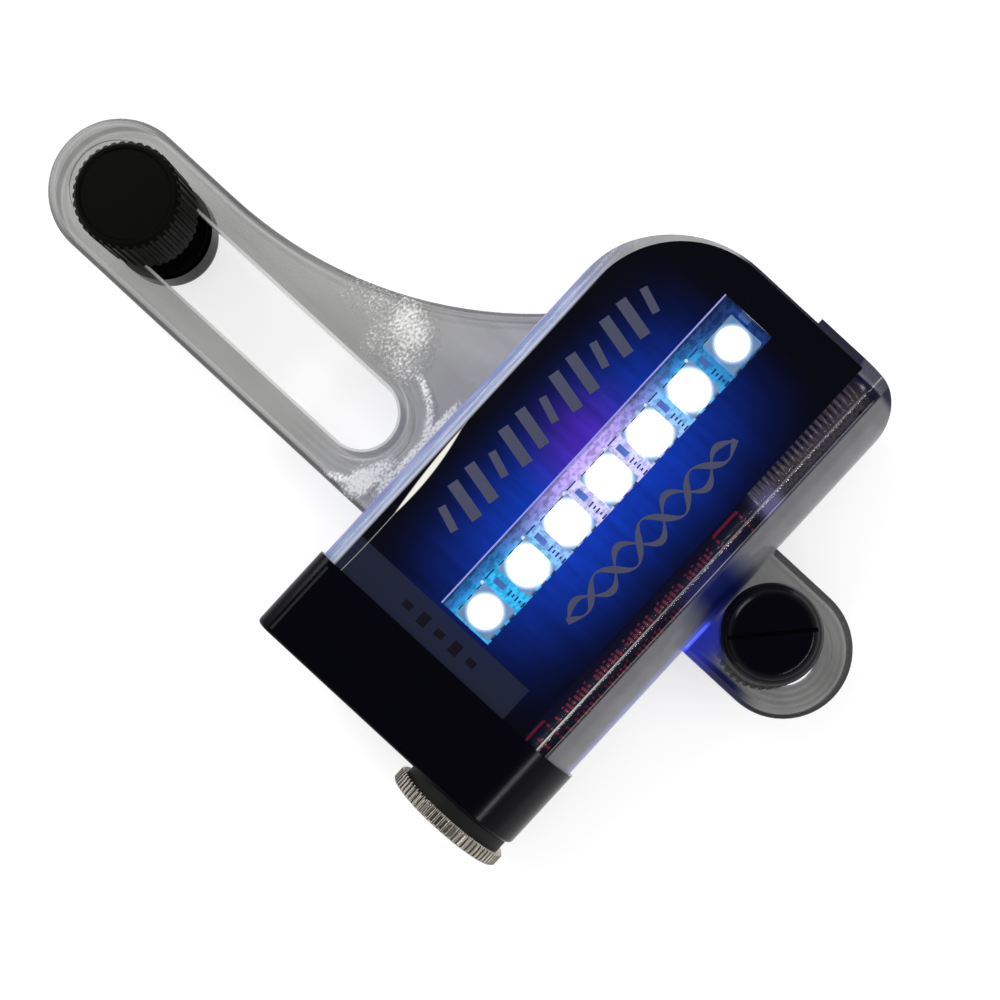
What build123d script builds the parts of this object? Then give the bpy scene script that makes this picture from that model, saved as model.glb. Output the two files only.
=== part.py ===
"""Clear clip-on wheel light: a flat case with a battery tube, two clamps that grip the spokes, in millimetres.

X runs from the long slotted arm to the short tab, Y from the knurled battery cap to the closed
end of the tube, and Z from the back to the front. The origin is under the middle of the light,
on the plane that it lies on.
"""
from build123d import *
import math
import os

# Layout across the light, from the arm's tip to the tab's end
arm_reach = 58.1
case_width = 31.4
tab_reach = 24.7

# Layout along the light, from the knurled cap to the closed end
ring_thickness = 1.8
seal_thickness = 1.65
end_cap_depth = 11.15
case_length = 59.1
tube_overhang = 0.7

# Clear case
case_half_depth = 7.4
case_wall = 1.8
case_corner_radius = 15.2
case_side_radius = 1.9
tube_end_radius = 4.5
step_offset = 6.8
divider_wall = 1.6
bore_clearance = 0.35

# Arm and tab, both moulded with the case
limb_half_thickness = 1.7
limb_edge_chamfer = 0.7
arm_width = 17.6
arm_offset = 15.2
flare_radius = 53.5
flare_rise = 16.5
tab_width = 16.9
tab_offset = 28.85
slot_width = 8.8
slot_root_gap = 4.8
tab_slot_travel = 2.3
lip_height = 0.3
lip_width = 1.45

# Guide rails that hold the circuit board in the case
rail_depth = 1.2
rail_thickness = 0.8
rail_clearance = 0.12
rail_start = 5.0

# Printed films on both faces
film_thickness = 0.15
film_side_inset = 2.1
film_end_inset = 0.35
film_overlap = 0.6
window_width = 7.25
window_low_margin = 5.2
window_high_margin = 4.9

# Black end cap
end_cap_proud = 0.45
end_cap_floor = 2.0
end_cap_edge_radius = 0.5
end_cap_side_radius = 2.3
tongue_length = 4.0
tongue_thickness = 1.1
tongue_clearance = 0.1
tongue_side_gap = 2.4

# AAA cell
cell_length = 44.5
cell_diameter = 10.5
wrap_thickness = 0.1
wrap_end_turn = 0.6
nub_radius = 1.9
nub_height = 0.8
cell_edge_radius = 0.5
insulator_radius = 4.2
insulator_thickness = 0.25
contact_clearance = 0.05

# Battery spring and its contact plate
spring_wire = 0.36
spring_pitch_aim = 0.8
spring_outer_diameter = 7.0
plate_radius = 4.8
strip_thickness = 0.3
strip_width = 2.4
strip_overlap = 1.8
strip_slot_clearance = 0.2

# Threaded metal sleeve in the end cap
sleeve_wall = 0.8
sleeve_clearance = 0.85
sleeve_recess = 0.9
sleeve_top_gap = 1.0
cap_wall_beside_sleeve = 1.8

# Knurled battery cap
ring_radius = 8.1
ring_rib_count = 70
ring_rib_radius = 0.26
ring_chamfer = 0.25
thread_clearance = 0.06
thread_pitch = 1.0
thread_depth = 0.3
thread_end_gap = 0.3
plug_length = 7.89
plug_wall = 1.3
plug_floor = 1.4
post_radius = 1.8
coin_slot_width = 1.4
coin_slot_depth = 0.7
coin_slot_length = 12.0
seal_radius = 7.25

# Circuit board and what it carries
board_thickness = 1.0
board_edge_clearance = 0.45
board_tail = 2.2
led_pitch_aim = 7.3
led_wall_gap = 3.6
led_side = 5.0
led_height = 1.6
led_lens_radius = 2.1
led_lens_depth = 0.9
resistor_length = 1.6
resistor_width = 0.8
resistor_height = 0.5
resistor_shift = 1.2
chip_length = 9.9
chip_width = 3.9
chip_height = 1.4
chip_standoff = 0.2
pin_count = 8
pin_spacing = 1.27
pin_width = 0.4
pin_reach = 1.05
pin_thickness = 0.2
inductor_side = 5.0
inductor_height = 2.6
inductor_chamfer = 0.8
capacitor_length = 3.5
capacitor_width = 2.8
capacitor_height = 1.9
switch_radius = 1.5
switch_length = 8.0
lead_radius = 0.25
lead_reach = 1.2
parts_row_step = 11.5

# Spoke clamps: a bolt, a bush in the slot, a washer and a knurled nut
shank_radius = 2.5
turn_clearance = 0.06
washer_clearance = 0.25
bush_clearance = 0.1
bush_flange_radius = 5.7
bush_flange_thickness = 0.6
bush_neck_shortfall = 0.3
washer_radius = 5.6
head_radius = 6.2
head_height = 4.6
head_shoulder_radius = 5.5
head_shoulder_drop = 0.75
head_side_drop = 2.3
head_top_radius = 4.4
head_shoulder_share = 0.35
head_crown_share = 0.75
driver_slot_width = 0.5
driver_slot_depth = 0.6
driver_slot_angle = 48
groove_radius = 1.05
groove_offset = 4.0
groove_side = {"outer": -1, "inner": 1}
nut_radius = 6.3
nut_height = 7.1
nut_top_radius = 5.75
nut_rim_width = 0.35
nut_rim_height = 0.2
nut_rib_count = 38
nut_rib_radius = 0.3
nut_foot_chamfer = 0.3
nut_end_wall = 1.1
shank_end_gap = 0.4
clamp_from_tip = 14.0
clamp_tube_gap = 0.25

cut_overrun = 1.0

# Places that follow from the sizes above
total_across = arm_reach + case_width + tab_reach
total_along = ring_thickness + seal_thickness + end_cap_depth + case_length + tube_overhang
tip_x = -total_across / 2
case_left = tip_x + arm_reach
tube_x = case_left + case_width
tab_end = tube_x + tab_reach
ring_low = -total_along / 2
ring_high = ring_low + ring_thickness
cap_low = ring_high + seal_thickness
joint_y = cap_low + end_cap_depth
case_top = joint_y + case_length
tube_end = case_top + tube_overhang
seat_height = limb_half_thickness + lip_height
clamp_half_depth = seat_height + bush_flange_thickness + nut_height
mid_z = clamp_half_depth
arm_y = joint_y + arm_offset
tab_y = joint_y + tab_offset
cell_radius = cell_diameter / 2
bore_radius = cell_radius + bore_clearance
bore_end = tube_end - case_wall
pocket_left = case_left + case_wall
pocket_right = tube_x - bore_radius - divider_wall
pocket_top = case_top - case_wall
pocket_half_depth = case_half_depth - case_wall
window_length = case_length - window_low_margin - window_high_margin
led_x = pocket_right - led_wall_gap - led_side / 2
led_row_y = joint_y + window_low_margin + window_length / 2
led_count = round((window_length - led_side) / led_pitch_aim) + 1
led_pitch = (window_length - led_side) / (led_count - 1)
board_half = board_thickness / 2
board_left = pocket_left + board_edge_clearance
board_right = pocket_right - board_edge_clearance
board_top = pocket_top - board_edge_clearance
board_low = joint_y - board_tail
sleeve_inner = cell_radius + sleeve_clearance
sleeve_outer = sleeve_inner + sleeve_wall
sleeve_low = cap_low + sleeve_recess
sleeve_high = joint_y - sleeve_top_gap
cap_pocket_right = tube_x - sleeve_outer - cap_wall_beside_sleeve
plug_radius = sleeve_inner - thread_clearance
plug_tip = ring_high + plug_length
nub_low = plug_tip + contact_clearance
cell_top = nub_low + cell_length
spring_travel = bore_end - strip_thickness - cell_top - 2 * contact_clearance - spring_wire
spring_turns = round(spring_travel / spring_pitch_aim)
spring_pitch = spring_travel / spring_turns
tip_centre_x = tip_x + arm_width / 2
slot_outer_x = tip_centre_x - slot_width / 2
slot_inner_x = case_left - slot_root_gap
outer_clamp_x = tip_x + clamp_from_tip
tab_arc_x = tab_end - tab_width / 2
inner_clamp_x = tab_arc_x - tab_slot_travel
parts_x = (board_left + led_x - led_side / 2) / 2
solder_z = board_half + strip_thickness


def level(height):
    """Plane facing up, at a height above the light's mid plane."""
    return Plane.XY.offset(mid_z + height)


def upright(x, y, side=1):
    """Plane for a profile turned about a vertical axis: X out from the axis, Y to the front or back."""
    return Plane(origin=(x, y, mid_z), x_dir=(1, 0, 0), z_dir=(0, -side, 0))


def section(y):
    """Plane across the light at a place along it: X across and Z up, facing the battery cap."""
    return Plane(origin=(0, y, mid_z), x_dir=(1, 0, 0), z_dir=(0, -1, 0))


def tube_plan():
    """Plane through the tube's axis: X out from the axis, Y along it."""
    return Plane(origin=(tube_x, 0, mid_z), x_dir=(1, 0, 0), z_dir=(0, 0, 1))


tube_axis = Axis((tube_x, 0, mid_z), (0, 1, 0))


def slab_profile(left, centre, radius, side_radius):
    """Cross-section of the case: square to the left with rounded edges, half round to the right."""
    with BuildLine() as outline:
        Polyline((centre, radius), (left + side_radius, radius))
        RadiusArc((left + side_radius, radius), (left, radius - side_radius), -side_radius)
        Line((left, radius - side_radius), (left, side_radius - radius))
        RadiusArc((left, side_radius - radius), (left + side_radius, -radius), -side_radius)
        Line((left + side_radius, -radius), (centre, -radius))
        ThreePointArc((centre, -radius), (centre + radius, 0), (centre, radius))
    return outline.line


def straight_sided(left, right, low, high, corner):
    """Plan with one rounded corner, at its upper left."""
    with BuildLine() as outline:
        Line((left, low), (left, high - corner))
        RadiusArc((left, high - corner), (left + corner, high), corner)
        Polyline((left + corner, high), (right, high), (right, low), (left, low))
    return outline.line


def half_turn_arcs(start, start_way, end, end_way):
    """Two arcs that leave start and reach end along the given directions, and meet in line."""
    chord = end - start
    spread = 2 * (1 - start_way.dot(end_way))
    along = chord.dot(start_way + end_way)
    reach = (math.sqrt(along ** 2 + spread * chord.dot(chord)) - along) / spread
    leave = start + start_way * reach
    arrive = end - end_way * reach
    meet = (leave + arrive) / 2
    TangentArc(start, meet, tangent=start_way)
    TangentArc(meet, end, tangent=arrive - leave)


os.makedirs("parts", exist_ok=True)

# The arm and the tab, with raised lips round their slots
with BuildPart() as limbs:
    flare_start_x = case_left - math.sqrt(flare_radius ** 2 - (flare_radius - flare_rise) ** 2)
    flare_middle = math.acos((flare_radius - flare_rise) / flare_radius) / 2
    arm_high = arm_y + arm_width / 2
    arm_low = arm_y - arm_width / 2
    arm_root_x = case_left + case_wall / 2
    with BuildSketch(level(-limb_half_thickness)):
        with BuildLine():
            Line((arm_root_x, arm_low), (tip_centre_x, arm_low))
            ThreePointArc((tip_centre_x, arm_low), (tip_x, arm_y), (tip_centre_x, arm_high))
            Line((tip_centre_x, arm_high), (flare_start_x, arm_high))
            ThreePointArc(
                (flare_start_x, arm_high),
                (flare_start_x + flare_radius * math.sin(flare_middle),
                 arm_high + flare_radius - flare_radius * math.cos(flare_middle)),
                (case_left, arm_high + flare_rise))
            Polyline((case_left, arm_high + flare_rise), (arm_root_x, arm_high + flare_rise), (arm_root_x, arm_low))
        make_face()
        tab_root_x = tube_x + (bore_radius + case_half_depth) / 2
        with Locations(((tab_root_x + tab_arc_x) / 2, tab_y)):
            Rectangle(tab_arc_x - tab_root_x, tab_width)
        with Locations((tab_arc_x, tab_y)):
            Circle(tab_width / 2)
    extrude(amount=2 * limb_half_thickness)
    rims = limbs.faces().filter_by(Axis.Z).edges()
    chamfer([rim for rim in rims if rim.center().X < case_left or rim.center().X > tab_root_x + cut_overrun],
            length=limb_edge_chamfer)
    slot_middle_x = (slot_outer_x + slot_inner_x) / 2
    slot_length = slot_inner_x - slot_outer_x
    tab_slot_middle_x = inner_clamp_x + tab_slot_travel / 2
    with BuildSketch(level(-seat_height)):
        with Locations((slot_middle_x, arm_y)):
            SlotOverall(slot_length + 2 * lip_width, slot_width + 2 * lip_width)
        with Locations((tab_slot_middle_x, tab_y)):
            SlotCenterToCenter(tab_slot_travel, slot_width + 2 * lip_width)
    extrude(amount=2 * seat_height)
    with BuildSketch(level(-seat_height)):
        with Locations((slot_middle_x, arm_y)):
            SlotOverall(slot_length, slot_width)
        with Locations((tab_slot_middle_x, tab_y)):
            SlotCenterToCenter(tab_slot_travel, slot_width)
    extrude(amount=2 * seat_height, mode=Mode.SUBTRACT)

# Clear case: flat box, battery tube, arm and tab in one moulding
with BuildPart() as housing:
    with BuildSketch(section(tube_end)):
        make_face(slab_profile(case_left, tube_x, case_half_depth, case_side_radius).edges())
    extrude(amount=tube_end - joint_y)
    case_right = tube_x + case_half_depth
    with BuildSketch(level(-case_half_depth - cut_overrun)):
        with BuildLine():
            Line((case_left, joint_y), (case_left, case_top - case_corner_radius))
            RadiusArc((case_left, case_top - case_corner_radius), (case_left + case_corner_radius, case_top),
                      case_corner_radius)
            Polyline((case_left + case_corner_radius, case_top), (tube_x - step_offset, case_top),
                     (tube_x - step_offset, tube_end), (case_right - tube_end_radius, tube_end))
            RadiusArc((case_right - tube_end_radius, tube_end), (case_right, tube_end - tube_end_radius),
                      tube_end_radius)
            Polyline((case_right, tube_end - tube_end_radius), (case_right, joint_y), (case_left, joint_y))
        make_face()
    extrude(amount=2 * (case_half_depth + cut_overrun), mode=Mode.INTERSECT)
    add(limbs.part)
    with BuildSketch(level(-pocket_half_depth)):
        make_face(straight_sided(pocket_left, pocket_right, joint_y - cut_overrun, pocket_top,
                                 case_corner_radius - case_wall).edges())
    extrude(amount=2 * pocket_half_depth, mode=Mode.SUBTRACT)
    with BuildSketch(section(bore_end)):
        with Locations((tube_x, 0)):
            Circle(bore_radius)
    extrude(amount=bore_end - joint_y, mode=Mode.SUBTRACT)
    rail_z = board_half + rail_clearance + rail_thickness / 2
    rail_end = case_top - case_corner_radius
    with BuildSketch(section(rail_end)):
        with Locations(*[(x, z) for x in (pocket_left, pocket_right) for z in (-rail_z, rail_z)]):
            Rectangle(2 * rail_depth, rail_thickness)
    extrude(amount=rail_end - joint_y - rail_start)
    strip_end_x = tube_x - spring_outer_diameter / 2 - bore_clearance
    slot_low = pocket_top - strip_width - 2 * strip_slot_clearance
    with BuildSketch(level(solder_z - strip_thickness - strip_slot_clearance)):
        with BuildLine():
            Polyline((pocket_right - cut_overrun, slot_low), (strip_end_x, slot_low), (strip_end_x, bore_end),
                     (pocket_right - cut_overrun, bore_end), close=True)
        make_face()
    extrude(amount=strip_thickness + 2 * strip_slot_clearance, mode=Mode.SUBTRACT)
housing.part.label = "housing"
export_step(housing.part, "parts/housing.step")

# Printed films, one on each flat face, each with a clear window over the lamps
for face_name, side in (("front", 1), ("back", -1)):
    with BuildPart() as label_film:
        with BuildSketch(level(side * case_half_depth)):
            make_face(straight_sided(case_left + film_side_inset, tube_x + film_overlap, joint_y,
                                     case_top - film_end_inset, case_corner_radius - film_side_inset).edges())
            with Locations((led_x, led_row_y)):
                Rectangle(window_width, window_length, mode=Mode.SUBTRACT)
        extrude(amount=side * film_thickness)
    label_film.part.label = f"label_{face_name}"
    export_step(label_film.part, f"parts/label_{face_name}.step")

# Black end cap: closes the box, and carries the threaded sleeve under the tube
with BuildPart() as end_cap:
    with BuildSketch(section(joint_y)):
        make_face(slab_profile(case_left - end_cap_proud, tube_x, case_half_depth + end_cap_proud,
                               end_cap_side_radius).edges())
    extrude(amount=end_cap_depth)
    fillet(end_cap.faces().sort_by(Axis.Y)[0].outer_wire().edges(), radius=end_cap_edge_radius)
    with BuildSketch(section(joint_y)):
        with Locations(((pocket_left + cap_pocket_right) / 2, 0)):
            Rectangle(cap_pocket_right - pocket_left, 2 * pocket_half_depth)
    extrude(amount=end_cap_depth - end_cap_floor, mode=Mode.SUBTRACT)
    with BuildSketch(section(joint_y)):
        with Locations((tube_x, 0)):
            Circle(sleeve_outer)
    extrude(amount=joint_y - sleeve_low, mode=Mode.SUBTRACT)
    with BuildSketch(section(sleeve_low)):
        with Locations((tube_x, 0)):
            Circle(sleeve_inner)
    extrude(amount=sleeve_recess, mode=Mode.SUBTRACT)
    notch_left = cap_pocket_right - strip_slot_clearance
    with BuildSketch(section(joint_y)):
        with Locations(((notch_left + tube_x - sleeve_inner) / 2, solder_z - strip_thickness / 2)):
            Rectangle(tube_x - sleeve_inner - notch_left, strip_thickness + 2 * strip_slot_clearance)
    extrude(amount=board_tail + strip_slot_clearance, mode=Mode.SUBTRACT)
    tongue_z = pocket_half_depth - tongue_clearance - tongue_thickness / 2
    tongue_width = cap_pocket_right - pocket_left - 2 * tongue_side_gap
    with BuildSketch(section(joint_y + tongue_length)):
        with Locations(*[((pocket_left + cap_pocket_right) / 2, z) for z in (-tongue_z, tongue_z)]):
            Rectangle(tongue_width, tongue_thickness)
    extrude(amount=tongue_length)
    with BuildSketch(section(joint_y)):
        with Locations(*[((pocket_left + cap_pocket_right) / 2, z) for z in (-tongue_z, tongue_z)]):
            Rectangle(tongue_width, tongue_thickness + 2 * tongue_clearance)
    extrude(amount=end_cap_depth - end_cap_floor)
end_cap.part.label = "end_cap"
export_step(end_cap.part, "parts/end_cap.step")

# Metal sleeve that the battery cap screws into, and the strip that joins it to the board
with BuildPart() as contact_sleeve:
    with BuildSketch(section(sleeve_high)):
        with Locations((tube_x, 0)):
            Circle(sleeve_outer)
            Circle(sleeve_inner, mode=Mode.SUBTRACT)
    extrude(amount=sleeve_high - sleeve_low)
contact_sleeve.part.label = "contact_sleeve"
export_step(contact_sleeve.part, "parts/contact_sleeve.step")

board_tail_right = cap_pocket_right - board_edge_clearance
with BuildPart() as sleeve_strip:
    strip_left = board_tail_right - strip_overlap
    strip_right = tube_x - sleeve_outer
    sleeve_strip_width = sleeve_high - board_low
    with BuildSketch(level(solder_z - strip_thickness)):
        with Locations(((strip_left + strip_right) / 2, board_low + sleeve_strip_width / 2)):
            Rectangle(strip_right - strip_left, sleeve_strip_width)
    extrude(amount=strip_thickness)
sleeve_strip.part.label = "sleeve_strip"
export_step(sleeve_strip.part, "parts/sleeve_strip.step")

# Spring contact: a round plate at the closed end of the tube, with a strip to the board
with BuildPart() as spring_contact:
    with BuildSketch(section(bore_end)):
        with Locations((tube_x, 0)):
            Circle(plate_radius)
    extrude(amount=strip_thickness)
    contact_left = board_right - strip_overlap
    contact_right = strip_end_x - strip_slot_clearance
    contact_low = pocket_top - strip_slot_clearance - strip_width
    leg_left = tube_x - plate_radius
    with BuildSketch(level(solder_z - strip_thickness)):
        with Locations(((contact_left + contact_right) / 2, contact_low + strip_width / 2)):
            Rectangle(contact_right - contact_left, strip_width)
        with Locations(((leg_left + contact_right) / 2, (contact_low + bore_end) / 2)):
            Rectangle(contact_right - leg_left, bore_end - contact_low)
    extrude(amount=strip_thickness)
spring_contact.part.label = "spring_contact"
export_step(spring_contact.part, "parts/spring_contact.step")

# Battery spring: a fine helix of one wire, drawn as arcs of half a turn and less
spring_radius = (spring_outer_diameter - spring_wire) / 2
spring_low = cell_top + contact_clearance + spring_wire / 2
half_turns = 2 * spring_turns
half_pitch = spring_pitch / 2


def spring_point(step):
    """Place on the helix after a number of half turns."""
    angle = math.pi * step
    return Vector(tube_x + spring_radius * math.cos(angle), spring_low + half_pitch * step,
                  mid_z + spring_radius * math.sin(angle))


def spring_way(step):
    """Direction of the wire after a number of half turns."""
    angle = math.pi * step
    return Vector(-math.pi * spring_radius * math.sin(angle), half_pitch,
                  math.pi * spring_radius * math.cos(angle)).normalized()


with BuildPart() as battery_spring:
    with BuildLine() as spring_path:
        Line(spring_point(0) - spring_way(0) * spring_wire, spring_point(0))
        for step in range(half_turns):
            half_turn_arcs(spring_point(step), spring_way(step), spring_point(step + 1), spring_way(step + 1))
        Line(spring_point(half_turns), spring_point(half_turns) + spring_way(half_turns) * spring_wire)
    with BuildSketch(Plane(origin=spring_path.line @ 0, z_dir=spring_path.line % 0)):
        Circle(spring_wire / 2)
    sweep(path=spring_path.line)
gap_samples = 24
spring_points = [spring_path.line @ (place / (spring_turns * gap_samples))
                 for place in range(spring_turns * gap_samples)]
least_gap = min((spring_points[place + ahead] - spring_points[place]).length - spring_wire
                for ahead in range(gap_samples // 2, gap_samples + gap_samples // 2)
                for place in range(len(spring_points) - ahead))
print("least gap of the spring to itself:", least_gap)
battery_spring.part.label = "battery_spring"
export_step(battery_spring.part, "parts/battery_spring.step")

# AAA cell: can with its positive nub towards the battery cap, insulating disc and printed wrap
can_radius = cell_radius - wrap_thickness
can_low = nub_low + nub_height
with BuildPart() as battery_cell:
    with BuildSketch(section(cell_top)):
        with Locations((tube_x, 0)):
            Circle(can_radius)
    extrude(amount=cell_top - can_low)
    fillet(battery_cell.edges().filter_by(GeomType.CIRCLE), radius=cell_edge_radius)
    with BuildSketch(section(can_low)):
        with Locations((tube_x, 0)):
            Circle(nub_radius)
    extrude(amount=nub_height)
battery_cell.part.label = "battery_cell"
export_step(battery_cell.part, "parts/battery_cell.step")

with BuildPart() as battery_wrap:
    with BuildSketch(section(cell_top - wrap_end_turn)):
        with Locations((tube_x, 0)):
            Circle(cell_radius)
            Circle(can_radius, mode=Mode.SUBTRACT)
    extrude(amount=cell_top - can_low - 2 * wrap_end_turn)
battery_wrap.part.label = "battery_wrap"
export_step(battery_wrap.part, "parts/battery_wrap.step")

with BuildPart() as battery_insulator:
    with BuildSketch(section(can_low)):
        with Locations((tube_x, 0)):
            Circle(insulator_radius)
            Circle(nub_radius, mode=Mode.SUBTRACT)
    extrude(amount=insulator_thickness)
battery_insulator.part.label = "battery_insulator"
export_step(battery_insulator.part, "parts/battery_insulator.step")

# Knurled battery cap: ribbed ring, threaded skirt, contact post and coin slot
with BuildPart() as battery_cap:
    skirt_inner = plug_radius - plug_wall
    thread_low = cap_low + sleeve_recess
    thread_turns = int((plug_tip - thread_low - thread_end_gap) / thread_pitch)
    thread_points = [point
                     for turn in range(thread_turns)
                     for point in ((plug_radius, thread_low + turn * thread_pitch),
                                   (plug_radius - thread_depth, thread_low + (turn + 1 / 2) * thread_pitch))]
    with BuildSketch(tube_plan()):
        with BuildLine():
            Polyline((0, ring_low), (ring_radius - ring_chamfer, ring_low), (ring_radius, ring_low + ring_chamfer),
                     (ring_radius, ring_high - ring_chamfer), (ring_radius - ring_chamfer, ring_high),
                     (plug_radius, ring_high), *thread_points,
                     (plug_radius, thread_low + thread_turns * thread_pitch),
                     (plug_radius, plug_tip), (skirt_inner, plug_tip),
                     (skirt_inner, ring_high + plug_floor), (post_radius, ring_high + plug_floor),
                     (post_radius, plug_tip), (0, plug_tip), close=True)
        make_face()
    revolve(axis=tube_axis)
    with BuildSketch(section(ring_high)):
        with Locations((tube_x, 0)):
            with PolarLocations(ring_radius, ring_rib_count):
                Circle(ring_rib_radius)
    extrude(amount=ring_thickness, mode=Mode.SUBTRACT)
    with BuildSketch(section(ring_low)):
        with Locations((tube_x, 0)):
            Rectangle(coin_slot_length, coin_slot_width)
    extrude(amount=-coin_slot_depth, mode=Mode.SUBTRACT)
battery_cap.part.label = "battery_cap"
export_step(battery_cap.part, "parts/battery_cap.step")

with BuildPart() as battery_cap_seal:
    with BuildSketch(section(cap_low)):
        with Locations((tube_x, 0)):
            Circle(seal_radius)
            Circle(plug_radius + thread_clearance, mode=Mode.SUBTRACT)
    extrude(amount=seal_thickness)
battery_cap_seal.part.label = "battery_cap_seal"
export_step(battery_cap_seal.part, "parts/battery_cap_seal.step")

# Circuit board, held by the rails, with a narrower tail that reaches into the end cap
with BuildPart() as circuit_board:
    with BuildSketch(level(-board_half)):
        make_face(straight_sided(board_left, board_right, joint_y + strip_slot_clearance, board_top,
                                 case_corner_radius - case_wall - board_edge_clearance).edges())
        with Locations(((board_left + board_tail_right) / 2, joint_y - (board_tail - strip_slot_clearance) / 2)):
            Rectangle(board_tail_right - board_left, board_tail + strip_slot_clearance)
    extrude(amount=board_thickness)
circuit_board.part.label = "circuit_board"
export_step(circuit_board.part, "parts/circuit_board.step")

# Lamps in a row on each side of the board, each a white package with a clear filling, and chip resistors
led_rows = [(led_x, led_row_y + led_pitch * (place - (led_count - 1) / 2)) for place in range(led_count)]
resistor_rows = [(led_x - resistor_shift, y + led_pitch / 2) for x, y in led_rows]
for face_name, side in (("front", 1), ("back", -1)):
    led_top = side * (board_half + led_height)
    with BuildPart() as leds:
        with BuildSketch(level(side * board_half)):
            with Locations(*led_rows):
                Rectangle(led_side, led_side)
        extrude(amount=side * led_height)
        with BuildSketch(level(led_top)):
            with Locations(*led_rows):
                Circle(led_lens_radius)
        extrude(amount=-side * led_lens_depth, mode=Mode.SUBTRACT)
    leds.part.label = f"leds_{face_name}"
    export_step(leds.part, f"parts/leds_{face_name}.step")

    with BuildPart() as led_lenses:
        with BuildSketch(level(led_top)):
            with Locations(*led_rows):
                Circle(led_lens_radius)
        extrude(amount=-side * led_lens_depth)
    led_lenses.part.label = f"led_lenses_{face_name}"
    export_step(led_lenses.part, f"parts/led_lenses_{face_name}.step")

    with BuildPart() as chip_resistors:
        with BuildSketch(level(side * board_half)):
            with Locations(*resistor_rows):
                Rectangle(resistor_length, resistor_width)
        extrude(amount=side * resistor_height)
    chip_resistors.part.label = f"chip_resistors_{face_name}"
    export_step(chip_resistors.part, f"parts/chip_resistors_{face_name}.step")

# Parts under the film: controller, step-up coil, capacitor and motion switch
with BuildPart() as controller_chip:
    with BuildSketch(level(board_half + chip_standoff)):
        with Locations((parts_x, led_row_y)):
            Rectangle(chip_width, chip_length)
    extrude(amount=chip_height)
controller_chip.part.label = "controller_chip"
export_step(controller_chip.part, "parts/controller_chip.step")

with BuildPart() as controller_pins:
    pin_rows = [led_row_y + pin_spacing * (place - (pin_count - 1) / 2) for place in range(pin_count)]
    for way in (-1, 1):
        foot_x = parts_x + way * (chip_width + pin_reach) / 2
        with BuildSketch(level(board_half)):
            with Locations(*[(foot_x, y) for y in pin_rows]):
                Rectangle(pin_reach, pin_width)
        extrude(amount=pin_thickness)
        shoulder_x = parts_x + way * (chip_width + pin_thickness) / 2
        with BuildSketch(level(board_half)):
            with Locations(*[(shoulder_x, y) for y in pin_rows]):
                Rectangle(pin_thickness, pin_width)
        extrude(amount=chip_standoff + chip_height / 2)
controller_pins.part.label = "controller_pins"
export_step(controller_pins.part, "parts/controller_pins.step")

with BuildPart() as boost_coil:
    with BuildSketch(level(board_half)):
        with Locations((parts_x, led_row_y + parts_row_step)):
            chamfer(Rectangle(inductor_side, inductor_side).vertices(), length=inductor_chamfer)
    extrude(amount=inductor_height)
boost_coil.part.label = "boost_coil"
export_step(boost_coil.part, "parts/boost_coil.step")

with BuildPart() as storage_capacitor:
    with BuildSketch(level(board_half)):
        with Locations((parts_x, led_row_y - parts_row_step)):
            Rectangle(capacitor_length, capacitor_width)
    extrude(amount=capacitor_height)
storage_capacitor.part.label = "storage_capacitor"
export_step(storage_capacitor.part, "parts/storage_capacitor.step")

switch_z = -board_half - switch_radius
with BuildPart() as motion_switch:
    with BuildSketch(section(led_row_y + switch_length / 2)):
        with Locations((parts_x, switch_z)):
            Circle(switch_radius)
    extrude(amount=switch_length)
motion_switch.part.label = "motion_switch"
export_step(motion_switch.part, "parts/motion_switch.step")

with BuildPart() as motion_switch_leads:
    for way in (-1, 1):
        end_y = led_row_y + way * switch_length / 2
        bend_y = end_y + way * lead_reach
        with BuildLine() as lead_path:
            FilletPolyline((parts_x, end_y, mid_z + switch_z), (parts_x, bend_y, mid_z + switch_z),
                           (parts_x, bend_y, mid_z - board_half), radius=2 * lead_radius)
        with BuildSketch(section(end_y)):
            with Locations((parts_x, switch_z)):
                Circle(lead_radius)
        sweep(path=lead_path.line)
motion_switch_leads.part.label = "motion_switch_leads"
export_step(motion_switch_leads.part, "parts/motion_switch_leads.step")

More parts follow.
